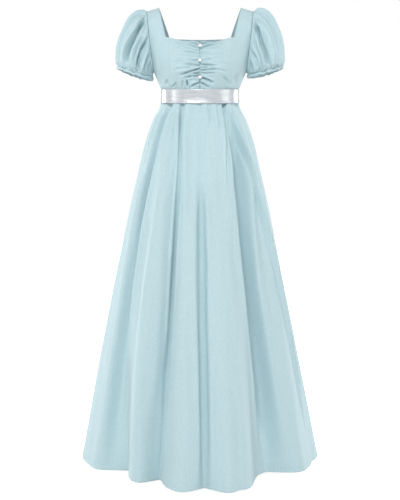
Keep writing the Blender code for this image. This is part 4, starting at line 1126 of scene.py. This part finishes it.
PEARL, pearl, pearl_shader = new_material("white pearl")
pearl_place = add_node(pearl, "ShaderNodeTexCoord").outputs["Object"]
pearl_bands = noise(pearl, pearl_place, 260.0, 3.0, distortion=0.6)
pearl_bump = {"Height": pearl_bands, "Distance": 0.0002, "Strength": 0.15}
pearl_look = {
    "Base Color": two_shades(pearl, pearl_bands, (0.86, 0.84, 0.85), (0.93, 0.95, 0.95), 0.30, 0.70),
    "Normal": add_node(pearl, "ShaderNodeBump", pearl_bump),
    "Roughness": 0.24,
    "Coat Weight": 0.6,
    "Coat Roughness": 0.10,
    "Sheen Weight": 0.2,
}
fill_inputs(pearl, pearl_shader, pearl_look)
PEARL_RINGS, PEARL_SIDES = 20, 32
DIMPLE = 0.06  # how far the back dips to the hole, as a share of the pearl's half depth
pearl_tilt = np.pi * np.arange(1, PEARL_RINGS) / PEARL_RINGS
pearl_turn = 2.0 * np.pi * np.arange(PEARL_SIDES) / PEARL_SIDES
dome = np.stack(
    np.broadcast_arrays(
        np.sin(pearl_tilt)[:, None] * np.cos(pearl_turn),
        -np.cos(pearl_tilt)[:, None],
        np.sin(pearl_tilt)[:, None] * np.sin(pearl_turn),
    ),
    axis=-1,
)
dome = dome * (1.0 - DIMPLE * bell(pearl_tilt - np.pi, 0.25))[:, None, None]
pearl_sides = [(step, (step + 1) % PEARL_SIDES) for step in range(PEARL_SIDES)]
pearl_end = 1 + (PEARL_RINGS - 1) * PEARL_SIDES
pearl_faces = [[0, 1 + step, 1 + beside] for step, beside in pearl_sides]
for base in range(1, pearl_end - PEARL_SIDES, PEARL_SIDES):
    above = base + PEARL_SIDES
    for step, beside in pearl_sides:
        pearl_faces.append([base + step, above + step, above + beside, base + beside])
last_ring = pearl_end - PEARL_SIDES
pearl_faces += [[pearl_end, last_ring + beside, last_ring + step] for step, beside in pearl_sides]
for node in ("button_top", "button_middle", "button_bottom"):
    low, high = (np.array(corner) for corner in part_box(node))
    centre, half = (low + high) / 2.0, (high - low) / 2.0
    front_point, back_point = centre - (0.0, half[1], 0.0), centre + (0.0, half[1] * 0.9, 0.0)
    mesh = bpy.data.meshes.new(node + "_pearl")
    shape = (dome * half + centre).reshape(-1, 3)
    mesh.from_pydata([front_point.tolist(), *shape.tolist(), back_point.tolist()], [], pearl_faces)
    mesh.materials.append(PEARL)
    mesh.shade_smooth()
    piece = new_object(node + "_pearl", mesh)
    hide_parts(node)
    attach(piece, "root")

# Studio. A plain white floor just below the hem and white all round. One large soft light is above the
# camera, two are behind the gown at its sides, and two narrow ones are level with it.

FLOOR, floor_tree, floor_shader = new_material("white floor")
floor_place = add_node(floor_tree, "ShaderNodeTexCoord").outputs["Object"]
floor_grain = noise(floor_tree, floor_place, 3.0, 2.0)
floor_look = {
    "Base Color": two_shades(floor_tree, floor_grain, (0.94, 0.94, 0.94), (0.97, 0.97, 0.97)),
    "Roughness": 0.9,
    "Emission Color": (1.0, 1.0, 1.0, 1.0),
    "Emission Strength": maths(floor_tree, "MULTIPLY", add_node(floor_tree, "ShaderNodeLightPath"), 0.92),
}
fill_inputs(floor_tree, floor_shader, floor_look)
FLOOR_RADIUS, FLOOR_HEIGHT, FLOOR_SIDES = 12.0, -1.43, 48
floor_turn = 2.0 * np.pi * np.arange(FLOOR_SIDES) / FLOOR_SIDES
floor_ring = np.stack([FLOOR_RADIUS * np.cos(floor_turn), FLOOR_RADIUS * np.sin(floor_turn)], axis=-1)
floor_mesh = bpy.data.meshes.new("floor")
floor_mesh.from_pydata([(x, y, FLOOR_HEIGHT) for x, y in floor_ring.tolist()], [], [list(range(FLOOR_SIDES))])
floor_mesh.materials.append(FLOOR)
floor = new_object("floor", floor_mesh)

world = bpy.data.worlds.new("white studio")
bpy.context.scene.world = world
world.use_nodes = True
world_seen = add_node(world.node_tree, "ShaderNodeLightPath")
world_range = {"Value": world_seen, "To Min": 0.38, "To Max": 1.0}
world_glow = add_node(world.node_tree, "ShaderNodeMapRange", world_range)
world_look = {"Color": (1.0, 1.0, 1.0, 1.0), "Strength": world_glow}
fill_inputs(world.node_tree, world.node_tree.nodes["Background"], world_look)

for name, place, aimed_height, width, length, watts in (
    ("front soft light", (-0.5, -3.3, 2.0), -0.60, 1.2, 1.0, 98.0),
    ("left rim light", (-2.5, 1.9, 0.1), -0.60, 0.8, 2.6, 50.0),
    ("right rim light", (2.5, 1.9, 0.1), -0.60, 0.8, 2.6, 50.0),
    ("left strip light", (-2.8, -1.1, -0.3), -0.40, 0.42, 2.2, 14.0),
    ("right strip light", (2.8, -1.1, -0.3), -0.40, 0.42, 2.2, 18.0),
):
    light = bpy.data.lights.new(name, "AREA")
    light.shape = "RECTANGLE"
    light.size, light.size_y = width, length
    light.energy = watts
    lamp = new_object(name, light)
    way = np.array([0.0, 0.0, aimed_height]) - np.array(place)
    lamp.location = place
    lamp.rotation_euler = (math.acos(-way[2] / np.linalg.norm(way)), 0.0, -math.atan2(way[0], way[1]))

FOCAL_PIXELS, PHOTO_HEIGHT, SENSOR_MM = 1031.6, 500.0, 36.0
CAMERA_TILT = 4.252  # degrees below level
camera_data = bpy.data.cameras.new("camera")
camera_data.sensor_width = SENSOR_MM
camera_data.lens = FOCAL_PIXELS / PHOTO_HEIGHT * SENSOR_MM
camera = new_object("camera", camera_data)
camera.location = (0.0, -3.22, -0.504)
camera.rotation_euler = (math.radians(90.0 - CAMERA_TILT), 0.0, 0.0)
bpy.context.scene.camera = camera
bpy.context.scene.view_settings.view_transform = "Standard"
bpy.context.scene.view_settings.look = "None"
